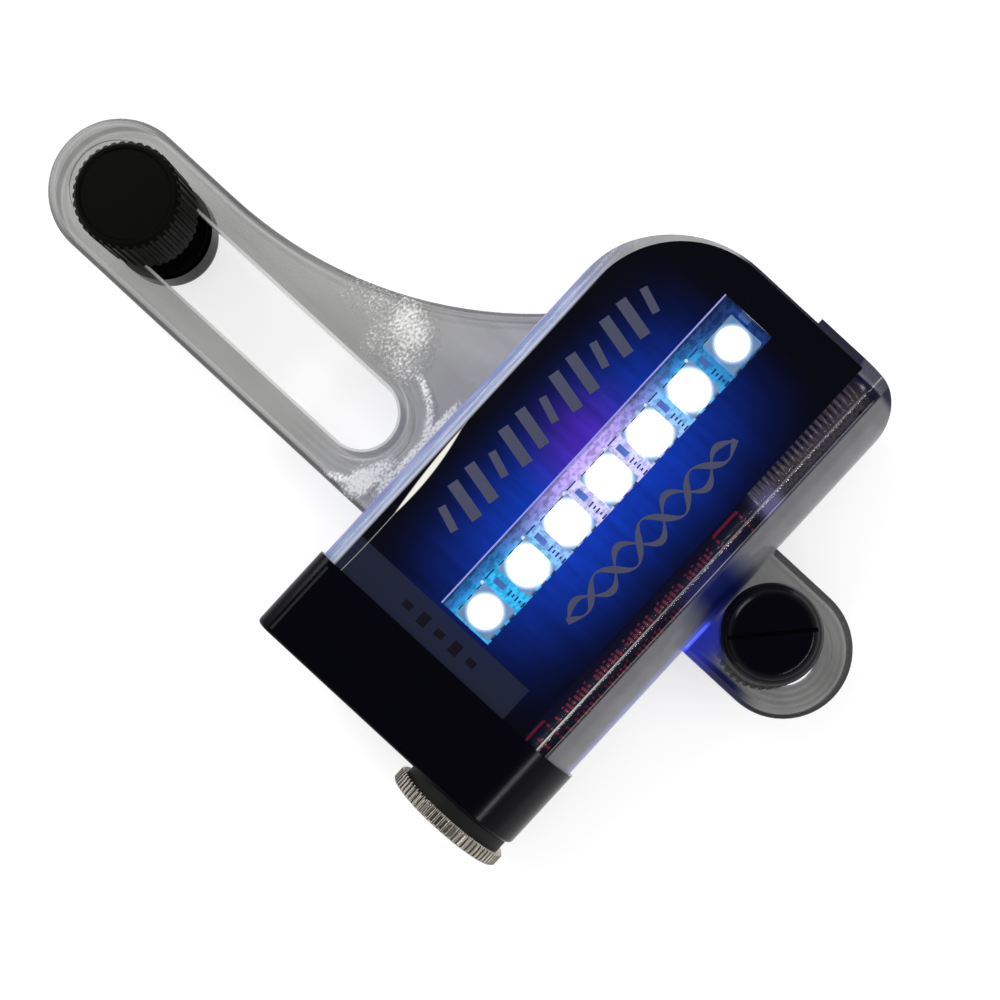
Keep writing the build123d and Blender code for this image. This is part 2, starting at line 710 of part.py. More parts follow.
# Spoke clamps: outer one on the arm with its nut in front, inner one on the tab with its nut behind
for clamp_name, x, y, side in (("outer", outer_clamp_x, arm_y, 1), ("inner", inner_clamp_x, tab_y, -1)):
    clamp_axis = Axis((x, y, mid_z), (0, 0, 1))
    flange = seat_height + bush_flange_thickness
    head_end = flange + head_height
    nut_top = flange + nut_height
    shank_top = nut_top - nut_end_wall - shank_end_gap
    with BuildPart() as bolt:
        with BuildSketch(upright(x, y, side)):
            with BuildLine():
                Polyline((0, shank_top), (shank_radius, shank_top), (shank_radius, -flange), (head_radius, -flange),
                         (head_radius, head_side_drop - head_end))
                ThreePointArc((head_radius, head_side_drop - head_end),
                              (head_radius - (head_radius - head_shoulder_radius) * head_shoulder_share,
                               head_shoulder_drop - head_end + (head_side_drop - head_shoulder_drop)
                               * head_shoulder_share),
                              (head_shoulder_radius, head_shoulder_drop - head_end))
                ThreePointArc((head_shoulder_radius, head_shoulder_drop - head_end),
                              ((head_shoulder_radius + head_top_radius) / 2,
                               (1 - head_crown_share) * head_shoulder_drop - head_end),
                              (head_top_radius, -head_end))
                Polyline((head_top_radius, -head_end), (0, -head_end), (0, shank_top))
            make_face()
        revolve(axis=clamp_axis)
        with BuildSketch(section(y + head_radius)):
            groove_z = -side * (flange + groove_radius)
            with Locations((x + groove_side[clamp_name] * groove_offset, groove_z)):
                Circle(groove_radius)
            with Locations((x + groove_side[clamp_name] * groove_offset, (groove_z - side * flange) / 2)):
                Rectangle(2 * groove_radius, groove_radius)
        extrude(amount=2 * head_radius, mode=Mode.SUBTRACT)
        with BuildSketch(level(-side * head_end)):
            with Locations(Location((x, y), driver_slot_angle)):
                Rectangle(2 * head_radius, driver_slot_width)
        extrude(amount=side * driver_slot_depth, mode=Mode.SUBTRACT)
    bolt.part.label = f"{clamp_name}_clamp_bolt"
    export_step(bolt.part, f"parts/{clamp_name}_clamp_bolt.step")

    with BuildPart() as bush:
        with BuildSketch(level(-side * flange)):
            with Locations((x, y)):
                Circle(bush_flange_radius)
        extrude(amount=side * bush_flange_thickness)
        with BuildSketch(level(-side * seat_height)):
            with Locations((x, y)):
                Circle(slot_width / 2 - bush_clearance)
        extrude(amount=side * (2 * seat_height - bush_neck_shortfall))
        with BuildSketch(level(-side * flange)):
            with Locations((x, y)):
                Circle(shank_radius + turn_clearance)
        extrude(amount=side * 2 * flange, mode=Mode.SUBTRACT)
    bush.part.label = f"{clamp_name}_clamp_bush"
    export_step(bush.part, f"parts/{clamp_name}_clamp_bush.step")

    with BuildPart() as washer:
        with BuildSketch(level(side * seat_height)):
            with Locations((x, y)):
                Circle(washer_radius)
                Circle(shank_radius + washer_clearance, mode=Mode.SUBTRACT)
        extrude(amount=side * bush_flange_thickness)
    washer.part.label = f"{clamp_name}_clamp_washer"
    export_step(washer.part, f"parts/{clamp_name}_clamp_washer.step")

    with BuildPart() as nut:
        bore_top = nut_top - nut_end_wall
        with BuildSketch(upright(x, y, side)):
            with BuildLine():
                Polyline((shank_radius + turn_clearance, flange), (nut_radius - nut_foot_chamfer, flange),
                         (nut_radius, flange + nut_foot_chamfer), (nut_radius, nut_top - nut_radius + nut_top_radius),
                         (nut_top_radius, nut_top), (nut_top_radius - nut_rim_width, nut_top),
                         (nut_top_radius - nut_rim_width - nut_rim_height, nut_top - nut_rim_height),
                         (0, nut_top - nut_rim_height), (0, bore_top), (shank_radius + turn_clearance, bore_top),
                         close=True)
            make_face()
        revolve(axis=clamp_axis)
        with BuildSketch(level(side * flange)):
            with Locations((x, y)):
                with PolarLocations(nut_radius, nut_rib_count):
                    Circle(nut_rib_radius)
        extrude(amount=side * nut_height, mode=Mode.SUBTRACT)
    nut.part.label = f"{clamp_name}_thumb_nut"
    export_step(nut.part, f"parts/{clamp_name}_thumb_nut.step")
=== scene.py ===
"""Clear clip-on wheel light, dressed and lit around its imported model.

Everything is in metres, in the model's own frame: X runs from the slotted arm to the short tab,
Y from the knurled battery cap to the closed end of the tube, and Z from the back to the front.
"""

import logging
import math
from dataclasses import dataclass
from enum import Enum
from typing import Callable

import bmesh
import bpy
import numpy as np
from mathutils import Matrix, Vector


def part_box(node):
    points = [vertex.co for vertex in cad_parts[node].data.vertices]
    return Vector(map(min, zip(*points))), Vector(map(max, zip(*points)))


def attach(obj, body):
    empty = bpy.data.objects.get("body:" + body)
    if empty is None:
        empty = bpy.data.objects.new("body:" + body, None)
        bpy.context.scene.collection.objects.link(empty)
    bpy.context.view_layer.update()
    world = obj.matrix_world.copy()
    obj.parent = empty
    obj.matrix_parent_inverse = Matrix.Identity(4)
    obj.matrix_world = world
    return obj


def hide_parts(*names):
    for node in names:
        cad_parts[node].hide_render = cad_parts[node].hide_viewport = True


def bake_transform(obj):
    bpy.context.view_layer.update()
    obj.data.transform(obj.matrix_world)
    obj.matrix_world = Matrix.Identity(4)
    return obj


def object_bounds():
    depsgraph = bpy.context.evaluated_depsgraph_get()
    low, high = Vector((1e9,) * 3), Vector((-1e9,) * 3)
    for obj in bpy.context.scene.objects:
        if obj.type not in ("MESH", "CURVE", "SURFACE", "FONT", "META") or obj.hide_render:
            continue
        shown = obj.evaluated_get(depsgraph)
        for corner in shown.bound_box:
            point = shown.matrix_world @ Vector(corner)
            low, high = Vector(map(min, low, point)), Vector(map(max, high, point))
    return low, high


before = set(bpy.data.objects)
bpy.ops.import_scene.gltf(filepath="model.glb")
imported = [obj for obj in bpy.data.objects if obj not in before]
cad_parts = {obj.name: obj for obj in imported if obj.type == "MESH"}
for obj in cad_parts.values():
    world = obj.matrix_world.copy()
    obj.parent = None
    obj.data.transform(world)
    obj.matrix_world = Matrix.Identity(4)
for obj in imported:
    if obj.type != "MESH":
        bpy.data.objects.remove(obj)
cad_low, cad_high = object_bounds()

MM = 0.001
Colour = tuple[float, float, float]
Point = tuple[float, float, float]
Placing = Callable[[np.ndarray], np.ndarray]
Span = tuple[float, float]
Band = tuple[float, float, float]
Stops = tuple[tuple[float, Colour], ...]
Changes = tuple[tuple[object, float], ...]

log = logging.getLogger("wheel_light")


class Body(str, Enum):
    """Bodies of the model that new pieces ride on."""

    CASE = "case"
    BATTERY = "battery"
    OUTER_BOLT = "outer_bolt"
    INNER_BOLT = "inner_bolt"


class Face(Enum):
    """The two faces of the light, with the way each one looks along Z."""

    FRONT = 1
    BACK = -1


class Graph:
    """Node tree of one finish around a Principled shader, with short ways to add and join nodes."""

    def __init__(self, name: str) -> None:
        """Start the material.

        Args:
            name: name of the new material.
        """
        self.material = bpy.data.materials.new(name)
        self.material.use_nodes = True
        self.tree = self.material.node_tree
        self.tree.nodes.clear()
        self.shader = self.add("ShaderNodeBsdfPrincipled")
        output = self.add("ShaderNodeOutputMaterial")
        self.tree.links.new(self.shader.outputs[0], output.inputs["Surface"])
        self.place = self.add("ShaderNodeTexCoord").outputs["Object"]
        split = self.add("ShaderNodeSeparateXYZ")
        self.tree.links.new(self.place, split.inputs[0])
        self.x, self.y, self.z = split.outputs

    def add(self, kind: str) -> bpy.types.Node:
        """Return a new node of that kind."""
        return self.tree.nodes.new(kind)

    def feed(self, value: object, socket: bpy.types.NodeSocket) -> None:
        """Give a socket a link, a colour or a number.

        Args:
            value: output socket, colour of three parts, or number.
            socket: the input that takes it.
        """
        if isinstance(value, bpy.types.NodeSocket):
            self.tree.links.new(value, socket)
        elif isinstance(value, tuple) and len(socket.default_value) == 4:
            socket.default_value = (*value, 1.0)
        else:
            socket.default_value = value

    def maths(self, operation: str, *values: object, clamp: bool = False) -> bpy.types.NodeSocket:
        """Return the result of a maths node.

        Args:
            operation: name of the operation.
            values: its one to three inputs.
            clamp: whether the result is held between 0 and 1.

        Returns:
            The output socket.
        """
        node = self.add("ShaderNodeMath")
        node.operation = operation
        node.use_clamp = clamp
        for value, socket in zip(values, node.inputs):
            self.feed(value, socket)
        return node.outputs[0]

    def fade(self, value: object, full: float, gone: float) -> bpy.types.NodeSocket:
        """Return a share that is 1 where value is full and falls smoothly to 0 where it is gone.

        Args:
            value: the socket to read.
            full: value at which the share is 1.
            gone: value at which the share is 0.

        Returns:
            The output socket.
        """
        node = self.add("ShaderNodeMapRange")
        node.interpolation_type = "SMOOTHSTEP"
        self.feed(value, node.inputs["Value"])
        self.feed(full, node.inputs["From Min"])
        self.feed(gone, node.inputs["From Max"])
        self.feed(1.0, node.inputs["To Min"])
        self.feed(0.0, node.inputs["To Max"])
        return node.outputs["Result"]

    def within(self, value: object, span: Span, soft: float) -> bpy.types.NodeSocket:
        """Return a share that is 1 inside a span and 0 outside it, with soft ends.

        Args:
            value: the socket to read.
            span: lower and upper end.
            soft: width of each soft end.

        Returns:
            The output socket.
        """
        middle = (span[0] + span[1]) / 2
        half = (span[1] - span[0]) / 2
        distance = self.maths("ABSOLUTE", self.maths("SUBTRACT", value, middle))
        return self.fade(distance, half - soft / 2, half + soft / 2)

    def past(self, value: object, place: float, span: Span) -> bpy.types.NodeSocket:
        """Return a fade whose full and gone ends are counted from a place.

        Args:
            value: the socket to read.
            place: the place that the ends are counted from.
            span: the full end and the gone end.

        Returns:
            The output socket.
        """
        return self.fade(value, place + span[0], place + span[1])

    def about(self, value: object, place: float, band: Band) -> bpy.types.NodeSocket:
        """Return a soft-ended band whose ends are counted from a place.

        Args:
            value: the socket to read.
            place: the place that the ends are counted from.
            band: lower end, upper end and the width of each soft end.

        Returns:
            The output socket.
        """
        return self.within(value, (place + band[0], place + band[1]), band[2])

    def both(self, *shares: object) -> bpy.types.NodeSocket:
        """Return the product of some shares.

        Args:
            shares: sockets or numbers.

        Returns:
            The output socket.
        """
        total = shares[0]
        for share in shares[1:]:
            total = self.maths("MULTIPLY", total, share)
        return total

    def most(self, *shares: object) -> bpy.types.NodeSocket:
        """Return the largest of some shares.

        Args:
            shares: sockets or numbers.

        Returns:
            The output socket.
        """
        total = shares[0]
        for share in shares[1:]:
            total = self.maths("MAXIMUM", total, share)
        return total

    def ramp(self, value: object, span: Span, stops: Stops) -> bpy.types.NodeSocket:
        """Return a colour read from stops along a span.

        Args:
            value: the socket to read.
            span: values at the first and the last end of the ramp.
            stops: places from 0 to 1 along the span, each with its colour.

        Returns:
            The output socket.
        """
        share = self.maths("DIVIDE", self.maths("SUBTRACT", value, span[0]), span[1] - span[0], clamp=True)
        node = self.add("ShaderNodeValToRGB")
        elements = node.color_ramp.elements
        while len(elements) < len(stops):
            elements.new(1.0)
        for element, (place, colour) in zip(elements, stops):
            element.position = place
            element.color = (*colour, 1.0)
        self.feed(share, node.inputs[0])
        return node.outputs[0]

    def distance(self, *centre: float | None) -> bpy.types.NodeSocket:
        """Return the distance from a point, or from a line where one of its places is None.

        Args:
            centre: place along X, Y and Z, or None for an axis that doesn't count.

        Returns:
            The output socket, in metres.
        """
        total: object = 0.0
        for value, place in zip((self.x, self.y, self.z), centre):
            if place is not None:
                gap = self.maths("SUBTRACT", value, place)
                total = self.maths("MULTIPLY_ADD", gap, gap, total)
        return self.maths("SQRT", total)

    def length(self, first: object, second: object) -> bpy.types.NodeSocket:
        """Return the root of the sum of two squares."""
        return self.maths("SQRT", self.maths("MULTIPLY_ADD", first, first, self.both(second, second)))

    def choose(self, share: object, first: object, second: object) -> bpy.types.NodeSocket:
        """Return a number that goes from first to second as share goes from 0 to 1.

        Args:
            share: how far it has gone.
            first: number at 0.
            second: number at 1.

        Returns:
            The output socket.
        """
        node = self.add("ShaderNodeMix")
        self.feed(share, node.inputs[0])
        self.feed(first, node.inputs[2])
        self.feed(second, node.inputs[3])
        return node.outputs[0]

    def mix(self, share: object, first: object, second: object) -> bpy.types.NodeSocket:
        """Return a colour that goes from first to second as share goes from 0 to 1.

        Args:
            share: how far it has gone.
            first: colour at 0.
            second: colour at 1.

        Returns:
            The output socket.
        """
        node = self.add("ShaderNodeMix")
        node.data_type = "RGBA"
        self.feed(share, node.inputs[0])
        self.feed(first, node.inputs[6])
        self.feed(second, node.inputs[7])
        return node.outputs[2]

    def noise(self, size: float, detail: float = 2.0,
              stretch: Point = (1.0, 1.0, 1.0)) -> bpy.types.NodeSocket:
        """Return a noise value from 0 to 1.

        Args:
            size: width of one blotch, in metres.
            detail: how many finer layers it has.
            stretch: how much longer a blotch is along each axis.

        Returns:
            The output socket.
        """
        mapping = self.add("ShaderNodeMapping")
        self.feed(self.place, mapping.inputs["Vector"])
        mapping.inputs["Scale"].default_value = tuple(1 / (size * share) for share in stretch)
        node = self.add("ShaderNodeTexNoise")
        node.inputs["Scale"].default_value = 1.0
        node.inputs["Detail"].default_value = detail
        self.feed(mapping.outputs[0], node.inputs["Vector"])
        return node.outputs["Fac"]

    def bump(self, height: object, depth: float) -> None:
        """Raise the look of the surface.

        Args:
            height: share of the depth, from 0 to 1.
            depth: the greatest height, in metres.
        """
        node = self.add("ShaderNodeBump")
        node.inputs["Distance"].default_value = depth
        self.feed(height, node.inputs["Height"])
        self.feed(node.outputs[0], self.shader.inputs["Normal"])

    def set(self, **values: object) -> bpy.types.Material:
        """Set the shader's sockets.

        Args:
            values: a value for each socket, named in small letters with underscores.

        Returns:
            The material.
        """
        sockets = {socket.name.lower().replace(" ", "_"): socket for socket in self.shader.inputs}
        for name, value in values.items():
            self.feed(value, sockets[name])
        return self.material


@dataclass(frozen=True)
class Moulded:
    """Moulded plastic, rubber or ceramic with fine grain, faint mottling and patchy gloss."""

    name: str
    colour: Colour
    roughness: float = 0.35
    gloss: float = 0.3
    grain: float = 0.12 * MM
    depth: float = 0.006 * MM
    mottle: float = 0.25
    mottle_size: float = 2.4 * MM
    rough_low: float = 0.85
    rough_rise: float = 0.3

    def build(self) -> bpy.types.Material:
        """Make the material: darker and duller where a slow noise is high, grained by a fine one.

        Returns:
            The new material.
        """
        graph = Graph(self.name)
        slow = graph.noise(self.mottle_size, 4.0)
        fine = graph.noise(self.grain, 3.0)
        dark = tuple(part * (1 - self.mottle) for part in self.colour)
        graph.bump(fine, self.depth)
        rough = graph.maths("MULTIPLY_ADD", slow, self.rough_rise * self.roughness,
                            self.rough_low * self.roughness)
        return graph.set(base_color=graph.mix(slow, self.colour, dark), roughness=rough,
                         specular_ior_level=self.gloss)


@dataclass(frozen=True)
class Plated:
    """Plated or bright metal with fine drawn lines along one axis."""

    name: str
    colour: Colour
    roughness: float = 0.28
    stretch: Point = (1.0, 1.0, 1.0)
    tarnish: float = 0.3
    glow: float = 0.0
    line_width: float = 0.1 * MM
    line_depth: float = 0.004 * MM
    tarnish_size: float = 1.6 * MM
    tarnish_fade: Span = (0.62, 0.35)
    rough_low: float = 0.7
    rough_rise: float = 0.6

    def build(self) -> bpy.types.Material:
        """Make the material: stretched noise gives the drawn lines, a slow one the tarnish.

        Returns:
            The new material.
        """
        graph = Graph(self.name)
        lines = graph.noise(self.line_width, 3.0, self.stretch)
        slow = graph.noise(self.tarnish_size, 4.0)
        wear_and_glare_line = tuple(part * (1 - self.tarnish) for part in self.colour)
        graph.bump(lines, self.line_depth)
        rough = graph.maths("MULTIPLY_ADD", slow, self.rough_rise * self.roughness,
                            self.rough_low * self.roughness)
        colour = graph.mix(graph.past(slow, 0.0, self.tarnish_fade), self.colour, wear_and_glare_line)
        # Any glow makes the metal give off its own colour: a painted glow.
        return graph.set(base_color=colour, roughness=rough, metallic=1.0, emission_color=colour,
                         emission_strength=self.glow)


@dataclass(frozen=True)
class Lamps:
    """Where the lamps stand, for every finish that their light reaches."""

    x: float
    middle_y: float
    pitch: float
    count: int

    def row_distance(self, graph: Graph) -> bpy.types.NodeSocket:
        """Return the distance in the plane from the line through all lamp centres.

        Args:
            graph: the finish that asks.

        Returns:
            The output socket: the root of the squared gap across and the squared gap past the ends.
        """
        across = graph.maths("SUBTRACT", graph.x, self.x)
        along = graph.maths("ABSOLUTE", graph.maths("SUBTRACT", graph.y, self.middle_y))
        past = graph.most(graph.maths("SUBTRACT", along, self.pitch * (self.count - 1) / 2), 0.0)
        return graph.length(across, past)

    def lamp_distance(self, graph: Graph) -> bpy.types.NodeSocket:
        """Return the distance in the plane from the nearest lamp's centre.

        Args:
            graph: the finish that asks.

        Returns:
            The output socket: Y is folded to one pitch about a lamp, and X counted from the row.
        """
        first_y = self.middle_y - self.pitch * (self.count - 1) / 2
        start = graph.maths("SUBTRACT", graph.y, first_y - self.pitch / 2)
        folded = graph.maths("SUBTRACT", graph.maths("FLOORED_MODULO", start, self.pitch), self.pitch / 2)
        across = graph.maths("SUBTRACT", graph.x, self.x)
        return graph.length(across, folded)


@dataclass(frozen=True)
class Spot:
    """Round patch of painted glint: how far left of the case and above the arm's middle it lies, and its
    reach.
    """

    across: float
    up: float
    reach: float
    strength: float


@dataclass(frozen=True)
class Zones:
    """Shares of the clear plastic's regions at a point, each from 0 to 1."""

    tab: bpy.types.NodeSocket
    case: bpy.types.NodeSocket
    limb: bpy.types.NodeSocket
    tube: bpy.types.NodeSocket
    bore: bpy.types.NodeSocket
    wall: bpy.types.NodeSocket
    window: bpy.types.NodeSocket
    strip: bpy.types.NodeSocket
    collar: bpy.types.NodeSocket
    end_wall: bpy.types.NodeSocket
    knob_side: bpy.types.NodeSocket
    root: bpy.types.NodeSocket
    rim: bpy.types.NodeSocket


@dataclass(frozen=True)
class PlasticTones:
    """Colours of the clear plastic, region by region, with painted shade and a painted reflection among them,
    and of the painted lamp glow that it gives off.
    """

    arm: Colour = (0.104, 0.106, 0.095)
    near_case: Colour = (0.108, 0.112, 0.140)
    tab: Colour = (0.066, 0.066, 0.062)
    case: Colour = (0.006, 0.006, 0.014)
    dark_wall: Colour = (0.18, 0.18, 0.19)
    pale_wall: Colour = (0.24, 0.24, 0.235)
    # Blue-violet of the painted reflection at the cell's end.
    collar: Colour = (0.16, 0.16, 0.34)
    # Tone of the painted shade beside the knob.
    knob_side: Colour = (0.006, 0.010, 0.050)
    # Tone of the painted shade on the case's end wall.
    end_wall: Colour = (0.010, 0.010, 0.030)
    # Tone of the painted shade line just inside the outline.
    painted_edge_shade: Colour = (0.010, 0.010, 0.016)
    # Dark navy of the painted shade at the tab's root and rim.
    deep: Colour = (0.006, 0.005, 0.030)
    # Near-white tone of the painted glint and of the other painted highlights.
    glint: Colour = (0.92, 0.92, 0.90)
    # Tones of the painted lamp glow.
    light: Colour = (0.05, 0.08, 0.95)
    strip_light: Colour = (0.26, 0.34, 0.95)
    # Painted highlight streaks on the case's side, then the bands across it: a painted shade line, a painted
    # blue glow core, a grey band and a painted highlight line.
    strip_streak: Colour = (0.56, 0.60, 0.74)
    strip: Stops = (
        (0.0, (0.12, 0.14, 0.24)), (0.10, (0.12, 0.14, 0.30)), (0.22, (0.13, 0.15, 0.66)),
        (0.36, (0.20, 0.22, 0.50)), (0.58, (0.22, 0.27, 0.38)), (0.84, (0.25, 0.30, 0.38)),
        (0.92, (0.60, 0.63, 0.66)), (1.0, (0.42, 0.44, 0.48)),
    )


@dataclass(frozen=True)
class PlasticCovers:
    """How much each region of the clear plastic covers what lies behind it, and what adds to that."""

    arm: float = 0.45
    tab: float = 0.61
    case: float = 0.38
    wall: float = 0.80
    bore_front: float = 0.24
    bore_back: float = 0.80
    strip: float = 0.76
    window: float = 0.03
    grazing: float = 0.22
    grazing_blend: float = 0.35
    grazing_power: float = 2.0
    flow: float = 0.16
    painted_edge_shade: float = 0.24
    painted_tab_edge_shade: float = 0.16
    rings: float = 0.014
    # Painted highlights cover more of what lies behind.
    pale: float = 0.45
    knob_side: float = 0.42
    collar: float = 0.30
    deep: float = 0.38
    end_wall: float = 0.45
    lines: float = 0.45


@dataclass(frozen=True)
class PlasticLights:
    """Strength of the painted lamp glow that each region of the clear plastic gives off."""

    strip: float = 0.30
    border: float = 1.6
    knob_side: float = 0.09
    tube: float = 0.030
    root: float = 0.29
    rim: float = 0.02
    streak: float = 1.4


@dataclass(frozen=True)
class PlasticPlaces:
    """Where the clear plastic's regions lie, counted from an edge or a middle of the light.

    A fade runs from the place where its share is full to the place where it is gone. A band runs from
    its lower to its upper end, and its third number is the width of each soft end.
    """

    lamp_fade: Span = (8.0 * MM, 26.0 * MM)
    tab_fade: Span = (0.3 * MM, -0.1 * MM)
    tube_fade: Span = (-7.0 * MM, -8.0 * MM)
    bore_fade: Span = (-3.3 * MM, -2.9 * MM)
    strip_fade: Span = (10.0 * MM, 26.0 * MM)
    end_wall_fade: Span = (-0.1 * MM, -1.3 * MM)
    end_wall_across: Span = (14.5 * MM, 11.5 * MM)
    collar_band: Band = (-0.6 * MM, 2.6 * MM, 2.2 * MM)
    collar_across: Span = (-3.5 * MM, -7.5 * MM)
    knob_band: Band = (-4.5 * MM, 4.0 * MM, 6.0 * MM)
    knob_across: Span = (-3.5 * MM, -5.5 * MM)
    root_across: Span = (1.0 * MM, 5.5 * MM)
    root_up: Span = (-5.0 * MM, 0.5 * MM)
    rim_depth: Span = (1.1 * MM, 2.0 * MM)
    rim_across: Span = (7.0 * MM, 12.0 * MM)
    rim_up: Span = (-6.0 * MM, -4.0 * MM)
    border_band: Band = (-0.5 * MM, 0.0, 0.3 * MM)
    border_up: Span = (-7.0 * MM, 1.0 * MM)
    streak_band: Band = (-0.1 * MM, 0.3 * MM, 0.2 * MM)
    streak_up: Band = (-8.45 * MM, -4.0 * MM, 1.5 * MM)
    near_case_fade: Span = (-2.0 * MM, -13.0 * MM)
    painted_edge_shade_band: Band = (0.05 * MM, 0.50 * MM, 0.25 * MM)
    edge_highlight_band: Band = (0.80 * MM, 1.20 * MM, 0.5 * MM)
    slot_edge_band: Band = (-0.10 * MM, 0.35 * MM, 0.25 * MM)
    inner_arc_band: Band = (1.15 * MM, 1.35 * MM, 0.3 * MM)
    inner_arc_across: Span = (-6.5 * MM, -10.0 * MM)
    tip_rings: Span = (6.0 * MM, 14.0 * MM)
    inner_rings: Span = (7.0 * MM, 9.5 * MM)
    bright_up: Span = (-26.0 * MM, 0.0)
    first_line: Band = (-4.68 * MM, -4.52 * MM, 0.1 * MM)
    second_line: Band = (-3.35 * MM, -3.25 * MM, 0.1 * MM)
    line_height: Span = (5.0 * MM, 3.0 * MM)
    line_end: Span = (-2.2 * MM, -1.2 * MM)
    glint_arc: Band = (3.2 * MM, 4.4 * MM, 0.9 * MM)
    glint_arc_across: Span = (-6.0 * MM, -10.0 * MM)
    glint_line: Band = (-1.9 * MM, -0.8 * MM, 0.6 * MM)
    glint_line_up: Band = (-6.5 * MM, 9.5 * MM, 5.0 * MM)
    glint_end: Span = (-0.7 * MM, -0.2 * MM)
    case_soft: float = 0.3 * MM
    strip_soft: float = 0.2 * MM
    window_soft: float = 0.2 * MM


@dataclass(frozen=True)
class Grain:
    """How the painted glint's grain is mixed from two noises, and how strong a patch has to be to show it."""

    cloud_limit: float = 0.95
    arc: float = 0.84
    line: float = 0.88
    patch_share: float = 0.85
    coarse_size: float = 2.2 * MM
    coarse_stretch: Point = (1.0, 1.8, 1.0)
    coarse_share: float = 0.35
    fine_size: float = 0.30 * MM
    fine_stretch: Point = (1.0, 1.5, 1.0)
    fine_share: float = 1.3
    level_fade: Span = (1.70, 1.06)
    patch_fade: Span = (0.34, 0.10)


@dataclass(frozen=True)
class PlasticMarks:
    """Strength of the painted highlight edges, the rings, the painted highlight lines and the painted
    streaks, and the sizes of the plastic's slow noises.
    """

    arm_edge: float = 0.35
    tab_edge: float = 0.15
    slot_edge: float = 0.7
    inner_arc: float = 0.45
    tip_rings: float = 0.6
    inner_rings: float = 1.6
    tab_rings: float = 2.4
    line_low: float = 0.4
    line_rise: float = 0.6
    second_line: float = 0.5
    line_colour: float = 0.9
    streak_size: float = 0.30 * MM
    streak_stretch: Point = (1.0, 18.0, 1.0)
    streak_fade: Span = (0.64, 0.46)
    streak_share: float = 0.42
    flow_size: float = 3.4 * MM
    flow_stretch: Point = (3.0, 1.0, 1.0)
    ripple_size: float = 0.9 * MM
    ripple_stretch: Point = (2.5, 1.0, 1.0)
    ripple_depth: float = 0.010 * MM
    tube_ripple: float = -0.95


